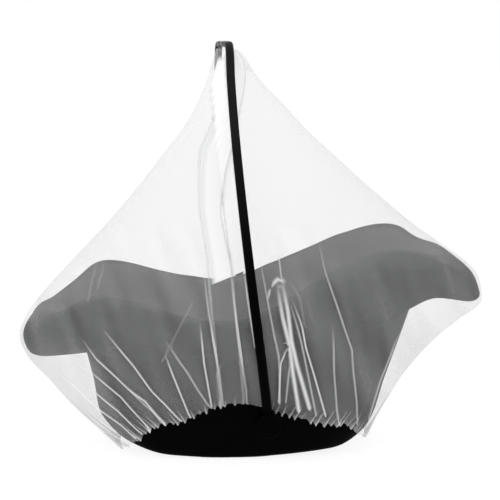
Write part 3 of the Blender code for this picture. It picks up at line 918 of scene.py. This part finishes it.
    def crease_field(self, grid: Grid) -> tuple[Grid, Grid, dict[str, tuple[Grid, Grid]]]:
        """The drawn creases, on the near wall only.

        Each eases in along its first third. The distance across a crease keeps its sign on either
        side, and turns its sign from one crease of a set to the next, so that it never jumps.

        Returns:
            Rise, broad layers, and for each set its distance in fold widths and its layers.
        """
        flat = grid[..., [0, 2]]
        near = smooth_step(-grid[..., 1] / self.near_from)
        rise, broad = np.zeros(near.shape), np.zeros(near.shape)
        names = FOLD_SETS[:-1]
        nearest = {name: np.full(near.shape, np.inf) for name in names}
        sets = {name: (np.full(near.shape, FOLD_REACH), np.zeros(near.shape)) for name in names}
        ordered = sorted(self.creases, key=lambda crease: crease.path[-1][0])
        for index, crease in enumerate(ordered):
            distance, side, run = from_path(flat, np.array(crease.path))
            fade = smooth_step(run * self.crease_ease + self.crease_head) * near
            rise += crease.rise * bell(distance, crease.width * self.crease_swell) * fade
            thinner = self.crease_thins * crease.layers
            broad -= thinner * bell(distance, crease.width * self.crease_beside) * fade
            name = names[index % len(names)]
            turn = -1.0 if index // len(names) % 2 else 1.0
            across = side * turn * np.minimum(distance / crease.width, FOLD_REACH)
            closer = distance < nearest[name]
            nearest[name] = np.where(closer, distance, nearest[name])
            laid = crease.layers * fade * self.beside(distance / crease.width)
            sets[name] = (np.where(closer, across, sets[name][0]),
                          np.where(closer, laid, sets[name][1]))
        return rise, broad, sets

    def beside(self, widths: Grid) -> Grid:
        """1 on a fold and 0 from nearly its reach, so that nothing is laid where the sign turns."""
        return 1.0 - smooth_step((widths - 1.8) / (FOLD_REACH - 2.2))

    def gather_field(self, grid: Grid, lengths: Grid) -> tuple[Grid, Grid, tuple[Grid, Grid], Grid]:
        """The uneven gathers above the hem.

        Each runs up its own station from the hem by a seeded reach, as a bell curve of the
        distance round the row, and eases out.

        Returns:
            Rise, broad layers, the distance across the nearest gather with its layers, and how
            much each hem station is a gather's tip.
        """
        random = np.random.default_rng(41)
        around = self.around(grid)
        stations = grid.shape[1]
        total = around[-1, -1]
        above = (lengths[-1] - lengths)[:, None]
        jitter = random.uniform(-self.gather_jitter, self.gather_jitter, self.gathers)
        centres = (np.arange(self.gathers) + jitter) / self.gathers
        columns = np.interp(centres * total, around[-1], np.arange(stations))
        least, most, near_most = self.gather_reach
        reach = least + most * random.uniform(0.0, 1.0, self.gathers) ** self.gather_reach_power
        power = random.uniform(*self.gather_strength, self.gathers)
        end = self.end_stations
        near = (columns > 2 * self.far_stations + end) & (columns < stations - end)
        reach = np.where(near, np.minimum(reach, near_most), reach)
        hem_x = np.interp(columns, np.arange(stations), grid[-1, :, 0])
        smooth_part = near & (hem_x > self.smooth_hem[0]) & (hem_x < self.smooth_hem[1])
        power = np.where(smooth_part, power * self.smooth_share, power)
        shape = grid.shape[:2]
        rise, broad, tips = np.zeros(shape), np.zeros(shape), np.zeros(stations)
        nearest, across, full = np.full(shape, np.inf), np.zeros(shape), np.zeros(shape)
        for index, (column, length, strength) in enumerate(zip(columns, reach, power)):
            low = int(column)
            share = column - low
            here = around[:, low] * (1 - share) + around[:, min(low + 1, stations - 1)] * share
            offset = around - here[:, None]
            whole = around[:, -1:]
            offset = (offset + whole / 2) % whole - whole / 2
            distance = np.abs(offset)
            fade = smooth_step(1.0 - above / length) * strength
            rise += self.gather_rise * bell(distance, self.gather_width) * fade
            beside = bell(distance - self.gather_beside, self.gather_beside_width)
            broad -= self.gather_thins * beside * fade
            closer = distance < nearest
            nearest = np.where(closer, distance, nearest)
            turn = -1.0 if index % 2 else 1.0
            widths = np.clip(offset / self.gather_line, -FOLD_REACH, FOLD_REACH)
            across = np.where(closer, widths * turn, across)
            laid = self.gather_layers * fade * self.beside(distance / self.gather_line)
            full = np.where(closer, laid, full)
            tips += bell(distance[-1], self.gather_width * self.tip_swell) * strength
        return rise, broad, (across, full), np.clip(tips, 0.0, self.tip_most)

    def bunched_painted_white(self, grid: Grid) -> tuple[Grid, Grid]:
        """How far the cloth lies in a bunch, 0 to 1: the pleat's outer face between its two edges,
        and a band beside it in front of the far arm. The finish lays more layers there and paints
        it whiter than the rest of the net, a painted highlight. With it, each point's height over
        the slant by the seat's rim below which the finish leaves the bunching out."""
        line = self.pleat_line()
        low, high = self.face
        across = smooth_step((line[:, 0] - low) / 0.32) * smooth_step((high - line[:, 0]) / 0.08)
        across *= line[:, 1] < self.face_layer
        before = 2 * self.far_stations + self.near_stations
        whole = np.concatenate([np.zeros(before), across, np.zeros(self.near_stations)])
        x, y, z = np.moveaxis(grid, -1, 0)
        over_rim = z - self.bunched_above - self.bunched_slant * (x - self.bunched_x)
        pleat = self.bunched_pleat * whole[None, :] * np.ones(x.shape)
        # Where the far arm lies behind the near wall, as seen from the photograph's place
        eye_x, eye_y, eye_z = self.eye
        seen = 1.0 - (self.handle.arm_y - y) / (self.handle.arm_y + eye_y)
        arm_z = eye_z + (z - eye_z) / seen
        arm_x = (self.handle.line_x(arm_z) - eye_x) * seen + eye_x
        band = smooth_step((self.band_half - np.abs(x - arm_x)) / self.band_edge)
        band *= smooth_step((-y - self.band_near) / 0.03)
        band *= smooth_step((self.band_top - z) / self.band_top_edge)
        return np.maximum(pleat, band), over_rim

    def slack(self, grid: Grid) -> Grid:
        """Extra layers of loose cloth: faint streaks that slant down to the hem, and fine folds
        where the cloth is drawn in under the two ends."""
        x, z = grid[..., 0], grid[..., 2]
        slanted = x + self.streak_lean * z
        streaks = soft_noise(slanted, self.streak_stretch * z, self.streak_width, 23) * self.streak
        streaks = streaks * smooth_step((self.streak_top - z) / 0.05)
        ends = smooth_step((np.abs(x) - self.end_from) / 0.06)
        return streaks + self.end_slack * (smooth_step((self.end_top - z) / 0.05) * ends)

    def build(self) -> bpy.types.Object:
        """The net as one sheet, with its UV map in metres and its folds' layers for the finish."""
        grid, lengths = self.base_grid()
        normals = grid_normals(grid)
        crease_rise, crease_layers, sets = self.crease_field(grid)
        gather_rise, gather_layers, sets[FOLD_SETS[-1]], tips = self.gather_field(grid, lengths)
        drape = soft_noise(grid[..., 0], grid[..., 2], self.drape_size, 5) * self.drape_rise
        settle = smooth_step(lengths / self.settles_over)[:, None]
        rise = crease_rise + gather_rise + drape * settle
        above = (lengths[-1] - lengths)[:, None]
        hem = bell(above, self.hem_depth)
        grid = grid + normals * rise[..., None]
        drop = self.hem_drop * bell(above, self.hem_band)
        grid[..., 2] -= drop * (tips[None, :] - self.tip_middle)
        hem_folds = self.hem_layers * hem * (0.15 + tips[None, :])
        layers = 1.0 + crease_layers + gather_layers + hem_folds
        layers += self.crest_layers * bell(lengths, self.crest_band)[:, None] + self.slack(grid)
        layers = np.clip(layers, *self.layer_range)
        bunched_painted_white, over_rim = self.bunched_painted_white(grid)
        rows, stations = grid.shape[:2]
        faces = closed_faces(rows, stations)
        piece = make_object("net_sheet", grid, faces, self.finish, sharp=180.0)
        add_value(piece, "layers", layers)
        # Painted highlight: the finish paints the cloth whiter by this mask, besides laying more
        # layers
        add_value(piece, "bunched_painted_white", bunched_painted_white)
        add_value(piece, "over_rim", over_rim)
        for name, (across, added) in sets.items():
            add_value(piece, name, across)
            add_value(piece, f"{name}_layers", added)
        around = self.around(grid)
        last = around[:, -1:] + np.linalg.norm(grid[:, :1] - grid[:, -1:], axis=-1)
        around = np.concatenate([around, last], axis=1) - around[:, stations // 2:stations // 2 + 1]
        steps = np.linalg.norm(np.diff(grid, axis=0), axis=-1)
        down = np.concatenate([np.zeros((1, stations)), np.cumsum(steps, axis=0)])
        down = np.concatenate([down, down[:, :1]], axis=1)
        add_uv(piece, np.stack([around, down], axis=-1))
        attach(piece, "root")
        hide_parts("net")
        area = mesh_area(piece)
        LOG.info("net: %d x %d points, %.3f square metres, hem %.3f m", rows, stations, area,
                 around[-1, -1] - around[-1, 0])
        return piece


def mesh_area(piece: bpy.types.Object) -> float:
    """The summed area of a piece's faces."""
    areas = np.zeros(len(piece.data.polygons))
    piece.data.polygons.foreach_get("area", areas)
    return float(areas.sum())


@dataclass
class HangingLoop:
    """A band of the net's own cloth over the crossbar, sewn down on the crest."""

    finish: bpy.types.Material
    half_width: float = 0.015
    bar_x: float = -0.0385
    bar_z: float = 0.590
    bar_half_depth: float = 0.004
    bar_half_width: float = 0.0063
    clear: float = 0.0009
    foot_half: float = 0.0045
    foot_z: float = 0.5843
    y_middle: float = 0.062
    waist: float = 0.05
    waist_width: float = 0.6
    wrinkle: float = 0.0002
    wrinkle_turns: tuple[float, float] = (11.0, 900.0)
    layers: float = 0.12
    edge_layers: float = 0.3
    edge_width: float = 0.12
    across: int = 14
    around: int = 72

    def outline(self) -> Grid:
        """Closed outline in x and z: half circles over the bar's two edges, narrowing to a foot on
        the crest, evenly spaced along its length."""
        radius = self.bar_half_depth + self.clear
        reach = self.bar_half_width - self.bar_half_depth
        turn = np.linspace(0.0, math.pi, 13)
        arch_x = self.bar_x + np.where(turn < math.pi / 2, reach, -reach) + radius * np.cos(turn)
        arch_z = self.bar_z + radius * np.sin(turn)
        foot_x = self.bar_x + np.array([-self.foot_half, 0.0, self.foot_half])
        corners = np.concatenate([
            np.stack([arch_x, arch_z], axis=1),
            np.stack([foot_x, np.full(3, self.foot_z)], axis=1),
        ])
        closed = np.vstack([corners, corners[:1]])
        length = run_along(closed)
        at = np.linspace(0.0, length[-1], self.around, endpoint=False)
        return np.stack([np.interp(at, length, closed[:, axis]) for axis in (0, 1)], axis=1)

    def build(self, name: str, node: str, side: Side) -> bpy.types.Object:
        """One loop: its outline carried across the bar, drawn in a little at its middle.

        Args:
            name: Name of the piece.
            node: The solid that it stands for.
            side: Which half of the bar it sits on.

        Returns:
            The loop as a thin sheet.
        """
        outline = self.outline()
        place = np.linspace(-1.0, 1.0, self.across)
        drawn = 1.0 - self.waist * bell(place, self.waist_width)[:, None]
        middle = np.array([self.bar_x, self.bar_z])
        over, down = self.wrinkle_turns
        wrinkle = self.wrinkle * np.sin(place[:, None] * over + outline[None, :, 1] * down)
        scale = drawn + wrinkle / self.bar_half_depth
        section = middle + (outline[None] - middle) * scale[..., None]
        y_middle = side.value * self.y_middle
        y = np.broadcast_to((y_middle + self.half_width * place)[:, None], section.shape[:2])
        grid = np.stack([section[..., 0], y, section[..., 1]], axis=-1)[::-1]
        piece = make_object(name, grid, closed_faces(self.across, self.around), self.finish, 180.0)
        edges = self.edge_layers * bell(1.0 - np.abs(place), self.edge_width)[:, None]
        add_value(piece, "layers", self.layers + edges * np.ones((1, self.around)))
        run = run_along(np.vstack([outline, outline[:1]]))
        across = (place + 1.0) * self.half_width
        uv = np.stack(np.broadcast_arrays(run[None, :], across[:, None]), axis=-1)
        add_uv(piece, uv)
        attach(piece, "root")
        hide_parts(node)
        LOG.info("%s: %.1f mm round", name, run[-1] * 1000.0)
        return piece


# The carrier

TURNED_SIDES = 64


def turned_grid(profile: Grid, pivot: tuple[float, float], radius: float,
                reach: tuple[float, float], side: Side) -> Grid:
    """Rows of a turned piece about an axis along y.

    Args:
        profile: Its shares of the radius and of the way out.
        pivot: x and z of the axis.
        radius: Its full radius.
        reach: Inner and outer y.
        side: The side that it points to.

    Returns:
        Rows of points round the axis, from the inner end out.
    """
    turn = np.linspace(0.0, 2.0 * math.pi, TURNED_SIDES, endpoint=False)[::int(side.value)]
    around = profile[:, 0:1] * radius
    y = reach[0] + (reach[1] - reach[0]) * profile[:, 1:2]
    x = pivot[0] + around * np.cos(turn)
    return np.stack([x, side.value * y + 0.0 * x, pivot[1] + around * np.sin(turn)], axis=-1)


@dataclass
class CarrierShell:
    """The moulded shell: a walled bowl on a rocker with a flat middle."""

    finish: bpy.types.Material
    outer: tuple[Ring, ...] = (
        Ring(-0.246, 0.237, 0.169, 2.8, 0.1550, 0.1700, 0.1515, 0.1985, 0.2125),
        Ring(-0.232, 0.220, 0.148, 2.8, 0.095, 0.113, 0.120, 0.138, 0.160),
        Ring(-0.226, 0.199, 0.1340, 2.9, 0.058, 0.066, 0.088, 0.080, 0.100),
        Ring(-0.210, 0.180, 0.1280, 3.0, 0.033, 0.031, 0.046, 0.034, 0.043),
        Ring(-0.188, 0.160, 0.1210, 3.0, 0.015, 0.006, 0.004, 0.011, 0.020),
        Ring(-0.125, 0.065, 0.1100, 3.0, 0.0, 0.0, 0.0, 0.0, 0.0),
    )
    floor: Ring = Ring(-0.155, 0.124, 0.100, 2.7, 0.034, 0.034, 0.034, 0.034, 0.034)
    wall: float = 0.008
    low_lift: float = 0.006
    pivot: tuple[float, float] = (0.0165, 0.058)
    boss_radius: float = 0.015
    boss_y: tuple[float, float] = (0.120, 0.150)
    rows: int = 64
    stations: int = 288

    def inside(self) -> list[Ring]:
        """Inner rings from the floor up to the top edge."""
        low = self.outer[3].inset(self.wall, self.low_lift)
        return [self.floor, low] + [ring.inset(self.wall) for ring in reversed(self.outer[:3])]

    def boss(self, side: Side) -> bpy.types.Object:
        """The round boss that a hub of the handle turns on."""
        profile = np.array([(0.30, 0.0), (1.0, 0.0), (1.0, 0.94), (0.96, 1.0), (0.30, 1.0)])
        grid = turned_grid(profile, self.pivot, self.boss_radius, self.boss_y, side)
        piece = closed_object(f"boss_{side.name.lower()}", grid, self.finish, 30.0)
        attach(piece, "root")
        return piece

    def build(self) -> bpy.types.Object:
        """Inner rings from the floor to the top edge, then outer rings down to the flat below."""
        grid = np.concatenate([
            whole_rings(smooth_rings(self.inside(), self.rows // 2), self.stations),
            whole_rings(smooth_rings(self.outer, self.rows), self.stations),
        ])
        piece = closed_object("moulded_shell", grid, self.finish, sharp=35.0)
        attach(piece, "root")
        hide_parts("shell")
        for side in Side:
            self.boss(side)
        LOG.info("shell: %d x %d points, with a boss on each side", *grid.shape[:2])
        return piece


@dataclass
class SeatLiner:
    """The padded liner: a bucket with a rolled rim and bulging ends, nested in the shell."""

    finish: bpy.types.Material
    shell: CarrierShell
    rings: tuple[Ring, ...] = (
        Ring(-0.155, 0.110, 0.085, 2.4, 0.069, 0.062, 0.058, 0.062, 0.071),
        Ring(-0.192, 0.160, 0.120, 2.7, 0.090, 0.084, 0.080, 0.100, 0.116),
        Ring(-0.238, 0.214, 0.145, 2.8, 0.145, 0.150, 0.132, 0.185, 0.198),
        Ring(-0.282, 0.256, 0.166, 2.9, 0.200, 0.226, 0.188, 0.280, 0.270),
        Ring(-0.297, 0.270, 0.176, 3.0, 0.212, 0.241, 0.203, 0.298, 0.287),
        Ring(-0.312, 0.281, 0.185, 3.0, 0.207, 0.244, 0.205, 0.301, 0.289),
        Ring(-0.328, 0.328, 0.188, 2.9, 0.188, 0.226, 0.197, 0.278, 0.254),
        Ring(-0.334, 0.339, 0.188, 2.8, 0.168, 0.200, 0.183, 0.257, 0.225),
        Ring(-0.325, 0.330, 0.184, 2.8, 0.146, 0.177, 0.168, 0.243, 0.219),
        Ring(-0.290, 0.284, 0.176, 2.8, 0.149, 0.172, 0.158, 0.234, 0.225),
        Ring(-0.2475, 0.2385, 0.1690, 2.8, 0.1555, 0.1705, 0.1520, 0.1990, 0.2130),
    )
    # x, and how much higher the near and the far rim stand there than their rings
    rim_lift: tuple[tuple[float, float, float], ...] = (
        (-0.30, 0.000, -0.004), (-0.27, 0.002, 0.001), (-0.24, 0.005, 0.010), (-0.20, 0.002, 0.006),
        (-0.15, 0.002, 0.005), (-0.11, 0.004, 0.008), (-0.07, 0.006, 0.013), (0.03, 0.010, 0.011),
        (0.06, 0.014, 0.006), (0.09, 0.015, 0.002), (0.13, 0.012, -0.001), (0.16, 0.009, -0.001),
        (0.19, 0.006, 0.003), (0.24, 0.000, 0.010), (0.265, 0.000, 0.003), (0.30, 0.000, 0.000),
    )
    side_gap: float = 0.0012
    low_gap: float = 0.0040
    contact: float = 0.0003
    rows: int = 110
    under_rows: int = 40
    stations: int = 288
    seams: tuple[float, ...] = (0.285, 0.60)
    seam_depth: float = 0.0022
    seam_width: float = 0.0042
    seat_seams: tuple[float, float] = (-0.045, 0.095)
    plump: float = 0.0011
    plump_size: float = 0.11
    # Shares of the running length: where the rim's lift begins and ends, and where the colour turns
    # from the painted light of the inside to the painted shade of the outer wall
    lift_from: float = 0.45
    lift_to: float = 0.68
    painted_light_turns: float = 0.54

    def underside(self) -> list[Ring]:
        """Rings that line the shell's inner wall from its top edge down to its floor."""
        floor, low, belly, waist, edge = self.shell.inside()
        return [
            edge.inset(self.side_gap, self.contact), waist.inset(self.low_gap),
            belly.inset(self.low_gap), low.inset(self.low_gap, self.side_gap),
            floor.inset(self.low_gap, self.contact),
        ]

    def build(self) -> bpy.types.Object:
        """Rings through the bucket, rim and lobes, with sewn grooves pressed in along the rim and
        across the seat, then rings nested in the shell."""
        knots = ring_lengths(self.rings)
        at = np.linspace(0.0, knots[-1], self.rows)
        rows = smooth_between(knots, np.array(self.rings), at)
        grid = whole_rings(rows, self.stations)
        run = (at / knots[-1])[:, None]
        lift = np.array(self.rim_lift)
        sides = smooth_between(lift[:, 0], lift[:, 1:], grid[..., 0].ravel().clip(-0.3, 0.3))
        far = smooth_step(grid[..., 1] / 0.12 + 0.5)
        raised = sides[:, 0].reshape(far.shape) * (1.0 - far) + sides[:, 1].reshape(far.shape) * far
        ends = 1.0 - smooth_step((run - self.lift_to) / 0.12)
        grid[..., 2] += raised * smooth_step((run - self.lift_from) / 0.15) * ends
        normals = grid_normals(grid)
        press = np.zeros(grid.shape[:2])
        for seam in self.seams:
            press += bell((run - seam) * knots[-1], self.seam_width)
        inside = 1.0 - smooth_step((run - 0.30) / 0.06)
        across = sum(bell(grid[..., 0] - x, self.seam_width) for x in self.seat_seams)
        press += across * inside * smooth_step((run - 0.03) / 0.05)
        drift = soft_noise(grid[..., 0], grid[..., 1] + grid[..., 2], self.plump_size, 12)
        grid = grid + normals * (drift * self.plump - self.seam_depth * press)[..., None]
        under = whole_rings(smooth_rings(self.underside(), self.under_rows), self.stations)
        grid = np.concatenate([grid, under])
        piece = closed_object("padded_liner", grid, self.finish, sharp=60.0)
        # Painted light: 1 on the seat's lit inside, easing to 0 on its shaded outer wall and on the
        # rows beneath
        painted_lit_share = 1.0 - smooth_step((run - self.painted_light_turns) / 0.20)
        beneath = np.zeros(under.shape[0] * self.stations)
        shades = [np.repeat(painted_lit_share, self.stations), beneath, [1.0, 0.0]]
        add_value(piece, "inside", np.concatenate(shades))
        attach(piece, "root")
        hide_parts("liner")
        LOG.info("liner: %d x %d points", *grid.shape[:2])
        return piece


@dataclass
class CarryHandle:
    """The carrying handle: one flat-sided bar bent to a U, leaned, with a hub at each foot."""

    finish: bpy.types.Material
    height: float = 0.594
    half_depth: float = 0.004
    half_width: float = 0.0057
    swell_at_foot: float = 1.32
    arm_y: float = 0.2085
    arm_foot_y: float = 0.158
    bend_low: float = 0.074
    bend_high: float = 0.200
    corner: float = 0.060
    top_x: float = -0.0385
    foot_x: float = 0.0175
    bow: float = 1.25
    bow_top: float = 0.55
    pivot_x: float = 0.0165
    pivot_z: float = 0.058
    hub_radius: float = 0.018
    hub_inner_y: float = 0.1503
    hub_outer_y: float = 0.166
    section_steps: int = 28

    def line_x(self, z: Grid) -> Grid:
        """The lean and slight bow: x of the bar's middle at a height, as a power of the drop."""
        share = np.clip((self.bow_top - z) / (self.bow_top - self.pivot_z), 0.0, 1.0)
        return self.top_x + (self.foot_x - self.top_x) * share ** self.bow

    def half_route(self) -> Grid:
        """Half of the bar's middle line in y and z, from the hub up to the crossbar's middle."""
        top = self.height - self.half_depth
        corner_z = top - self.corner
        low = np.linspace(self.pivot_z, self.bend_high, 26)
        share = np.clip((low - self.bend_low) / (self.bend_high - self.bend_low), 0.0, 1.0)
        bend = np.stack([self.arm_foot_y + (self.arm_y - self.arm_foot_y)
                         * np.sin(math.pi / 2 * share), low], axis=1)
        straight = np.linspace(self.bend_high, corner_z, 30)[1:]
        arm = np.stack([np.full_like(straight, self.arm_y), straight], axis=1)
        turn = np.linspace(0.0, math.pi / 2, 20)[1:]
        elbow = np.stack([self.arm_y - self.corner + self.corner * np.cos(turn),
                          corner_z + self.corner * np.sin(turn)], axis=1)
        cross = np.linspace(self.arm_y - self.corner, 0.0, 14)[1:]
        bar = np.stack([cross, np.full_like(cross, top)], axis=1)
        return np.concatenate([bend, arm, elbow, bar])

    def bar_grid(self) -> Grid:
        """The bar's section carried along its route: two half circles parted by a flat, turned
        square to the route in y and z and swelling towards the feet."""
        half = self.half_route()
        route = np.concatenate([half, half[-2::-1] * np.array([-1.0, 1.0])])
        along = np.gradient(route, axis=0)
        along /= np.linalg.norm(along, axis=1, keepdims=True)
        across = np.stack([along[:, 1], -along[:, 0]], axis=1)
        top = self.height - self.half_depth
        swell = 1.0 + (self.swell_at_foot - 1.0) * (top - route[:, 1]) / (top - self.pivot_z)
        turn = np.linspace(0.0, 2.0 * math.pi, self.section_steps, endpoint=False)
        flat = (self.half_width - self.half_depth) * np.tanh(np.sin(turn) * 6.0)
        side = flat + self.half_depth * np.sin(turn)
        deep = self.half_depth * np.cos(turn)
        deep_grid = deep[None, :] * swell[:, None]
        y = route[:, 0:1] + across[:, 0:1] * deep_grid
        z = route[:, 1:2] + across[:, 1:2] * deep_grid
        x = side[None, :] * (1.0 + (swell[:, None] - 1.0) * self.half_depth / self.half_width)
        return np.stack([x + self.line_x(z), y, z], axis=-1)

    def hub_grid(self, side: Side) -> Grid:
        """A hub turned about the pivot: its profile steps in round a shallow release button."""
        profile = np.array([
            (0.30, 0.0), (0.92, 0.0), (1.00, 0.06), (1.00, 0.84), (0.985, 0.94), (0.93, 1.0),
            (0.62, 1.0), (0.60, 0.990), (0.575, 0.97), (0.555, 0.97), (0.53, 0.985), (0.50, 0.985),
            (0.20, 0.985),
        ])
        pivot, reach = (self.pivot_x, self.pivot_z), (self.hub_inner_y, self.hub_outer_y)
        return turned_grid(profile, pivot, self.hub_radius, reach, side)

    def build(self) -> list[bpy.types.Object]:
        """The bar and its two hubs."""
        bar = closed_object("handle_bar", self.bar_grid(), self.finish, sharp=50.0)
        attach(bar, "root")
        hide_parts("handle")
        made = [bar]
        for side in Side:
            hub = closed_object(f"hub_{side.name.lower()}", self.hub_grid(side), self.finish, 30.0)
            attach(hub, "root")
            made.append(hub)
        LOG.info("handle: bar and %d hubs", len(made) - 1)
        return made


# The studio

@dataclass
class Studio:
    """Floor, soft light and the camera at the photograph's angle."""

    photo_width: int = 500
    focal_px: float = 1630.0
    sensor: float = 36.0
    distance: float = 2.4
    azimuth: float = -3.5
    eye_z: float = 0.594
    tilt: float = 7.3
    floor_half: float = 30.0
    clear_bounces: int = 64
    clip: tuple[float, float] = (0.05, 200.0)
    sky: float = 1.0
    lamp_side: float = 1.6
    lamp_power: float = 6.0
    lamp_place: tuple[float, float, float] = (-1.5, -1.6, 2.0)
    lamp_aim: tuple[float, float, float] = (0.0, 0.0, 0.25)

    def build(self) -> None:
        """Sets the floor, the even white surround, one large soft light and the camera."""
        scene = bpy.context.scene
        scene.view_settings.view_transform = "Standard"
        scene.cycles.transparent_max_bounces = self.clear_bounces
        self._floor()
        self._surround(scene)
        self._light()
        self._camera(scene)

    def _floor(self) -> None:
        """A plain pale floor."""
        half = self.floor_half
        corners = np.array([(-1, -1, 0), (1, -1, 0), (1, 1, 0), (-1, 1, 0)]) * half
        floor = make_object("studio_floor", corners, [(0, 1, 2, 3)], FloorFinish().build())

    def _surround(self, scene: bpy.types.Scene) -> None:
        """An even white surround."""
        world = bpy.data.worlds.new("white_surround")
        world.use_nodes = True
        background = world.node_tree.nodes["Background"]
        background.inputs["Color"].default_value = (1.0, 1.0, 1.0, 1.0)
        background.inputs["Strength"].default_value = self.sky
        scene.world = world

    def _light(self) -> None:
        """A large soft light from the upper left in front."""
        lamp = bpy.data.lights.new("soft_window", "AREA")
        lamp.shape = "RECTANGLE"
        lamp.size, lamp.size_y, lamp.energy = self.lamp_side, self.lamp_side, self.lamp_power
        made = bpy.data.objects.new("soft_window", lamp)
        made.location = self.lamp_place
        aim = Vector(self.lamp_aim) - made.location
        made.rotation_euler = aim.to_track_quat("-Z", "Y").to_euler()
        bpy.context.scene.collection.objects.link(made)

    def _camera(self, scene: bpy.types.Scene) -> None:
        """The camera stands on a circle round the middle, level with the handle's top."""
        azimuth, tilt = math.radians(self.azimuth), math.radians(self.tilt)
        camera = bpy.data.cameras.new("photo_camera")
        camera.sensor_width = self.sensor
        camera.lens = self.focal_px / self.photo_width * self.sensor
        camera.clip_start, camera.clip_end = self.clip
        made = bpy.data.objects.new("photo_camera", camera)
        made.location = (self.distance * math.sin(azimuth) - MIDDLE_X,
                         -self.distance * math.cos(azimuth), self.eye_z)
        forward = Vector((-math.sin(azimuth) * math.cos(tilt), math.cos(azimuth) * math.cos(tilt),
                          -math.sin(tilt)))
        right = Vector((math.cos(azimuth), math.sin(azimuth), 0.0))
        up = right.cross(forward)
        made.rotation_euler = Matrix((right, up, -forward)).transposed().to_euler()
        scene.collection.objects.link(made)
        scene.camera = made


def main() -> None:
    """Dresses every piece and sets the studio; the pieces log their sizes."""
    logging.basicConfig(level=logging.INFO, format="%(name)s %(message)s")
    for old in list(bpy.data.objects):
        bpy.data.objects.remove(old, do_unlink=True)
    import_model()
    net_cloth = NetFinish().build()
    handle = CarryHandle(CoatFinish().build())
    MosquitoNet(net_cloth, handle).build()
    loop = HangingLoop(net_cloth)
    for side in Side:
        loop.build(f"hanging_loop_{side.name.lower()}", f"loop_{side.name.lower()}", side)
    shell = CarrierShell(MouldedFinish().build())
    shell.build()
    SeatLiner(PaddingFinish().build(), shell).build()
    handle.build()
    Studio().build()


if __name__ == "__main__":
    main()
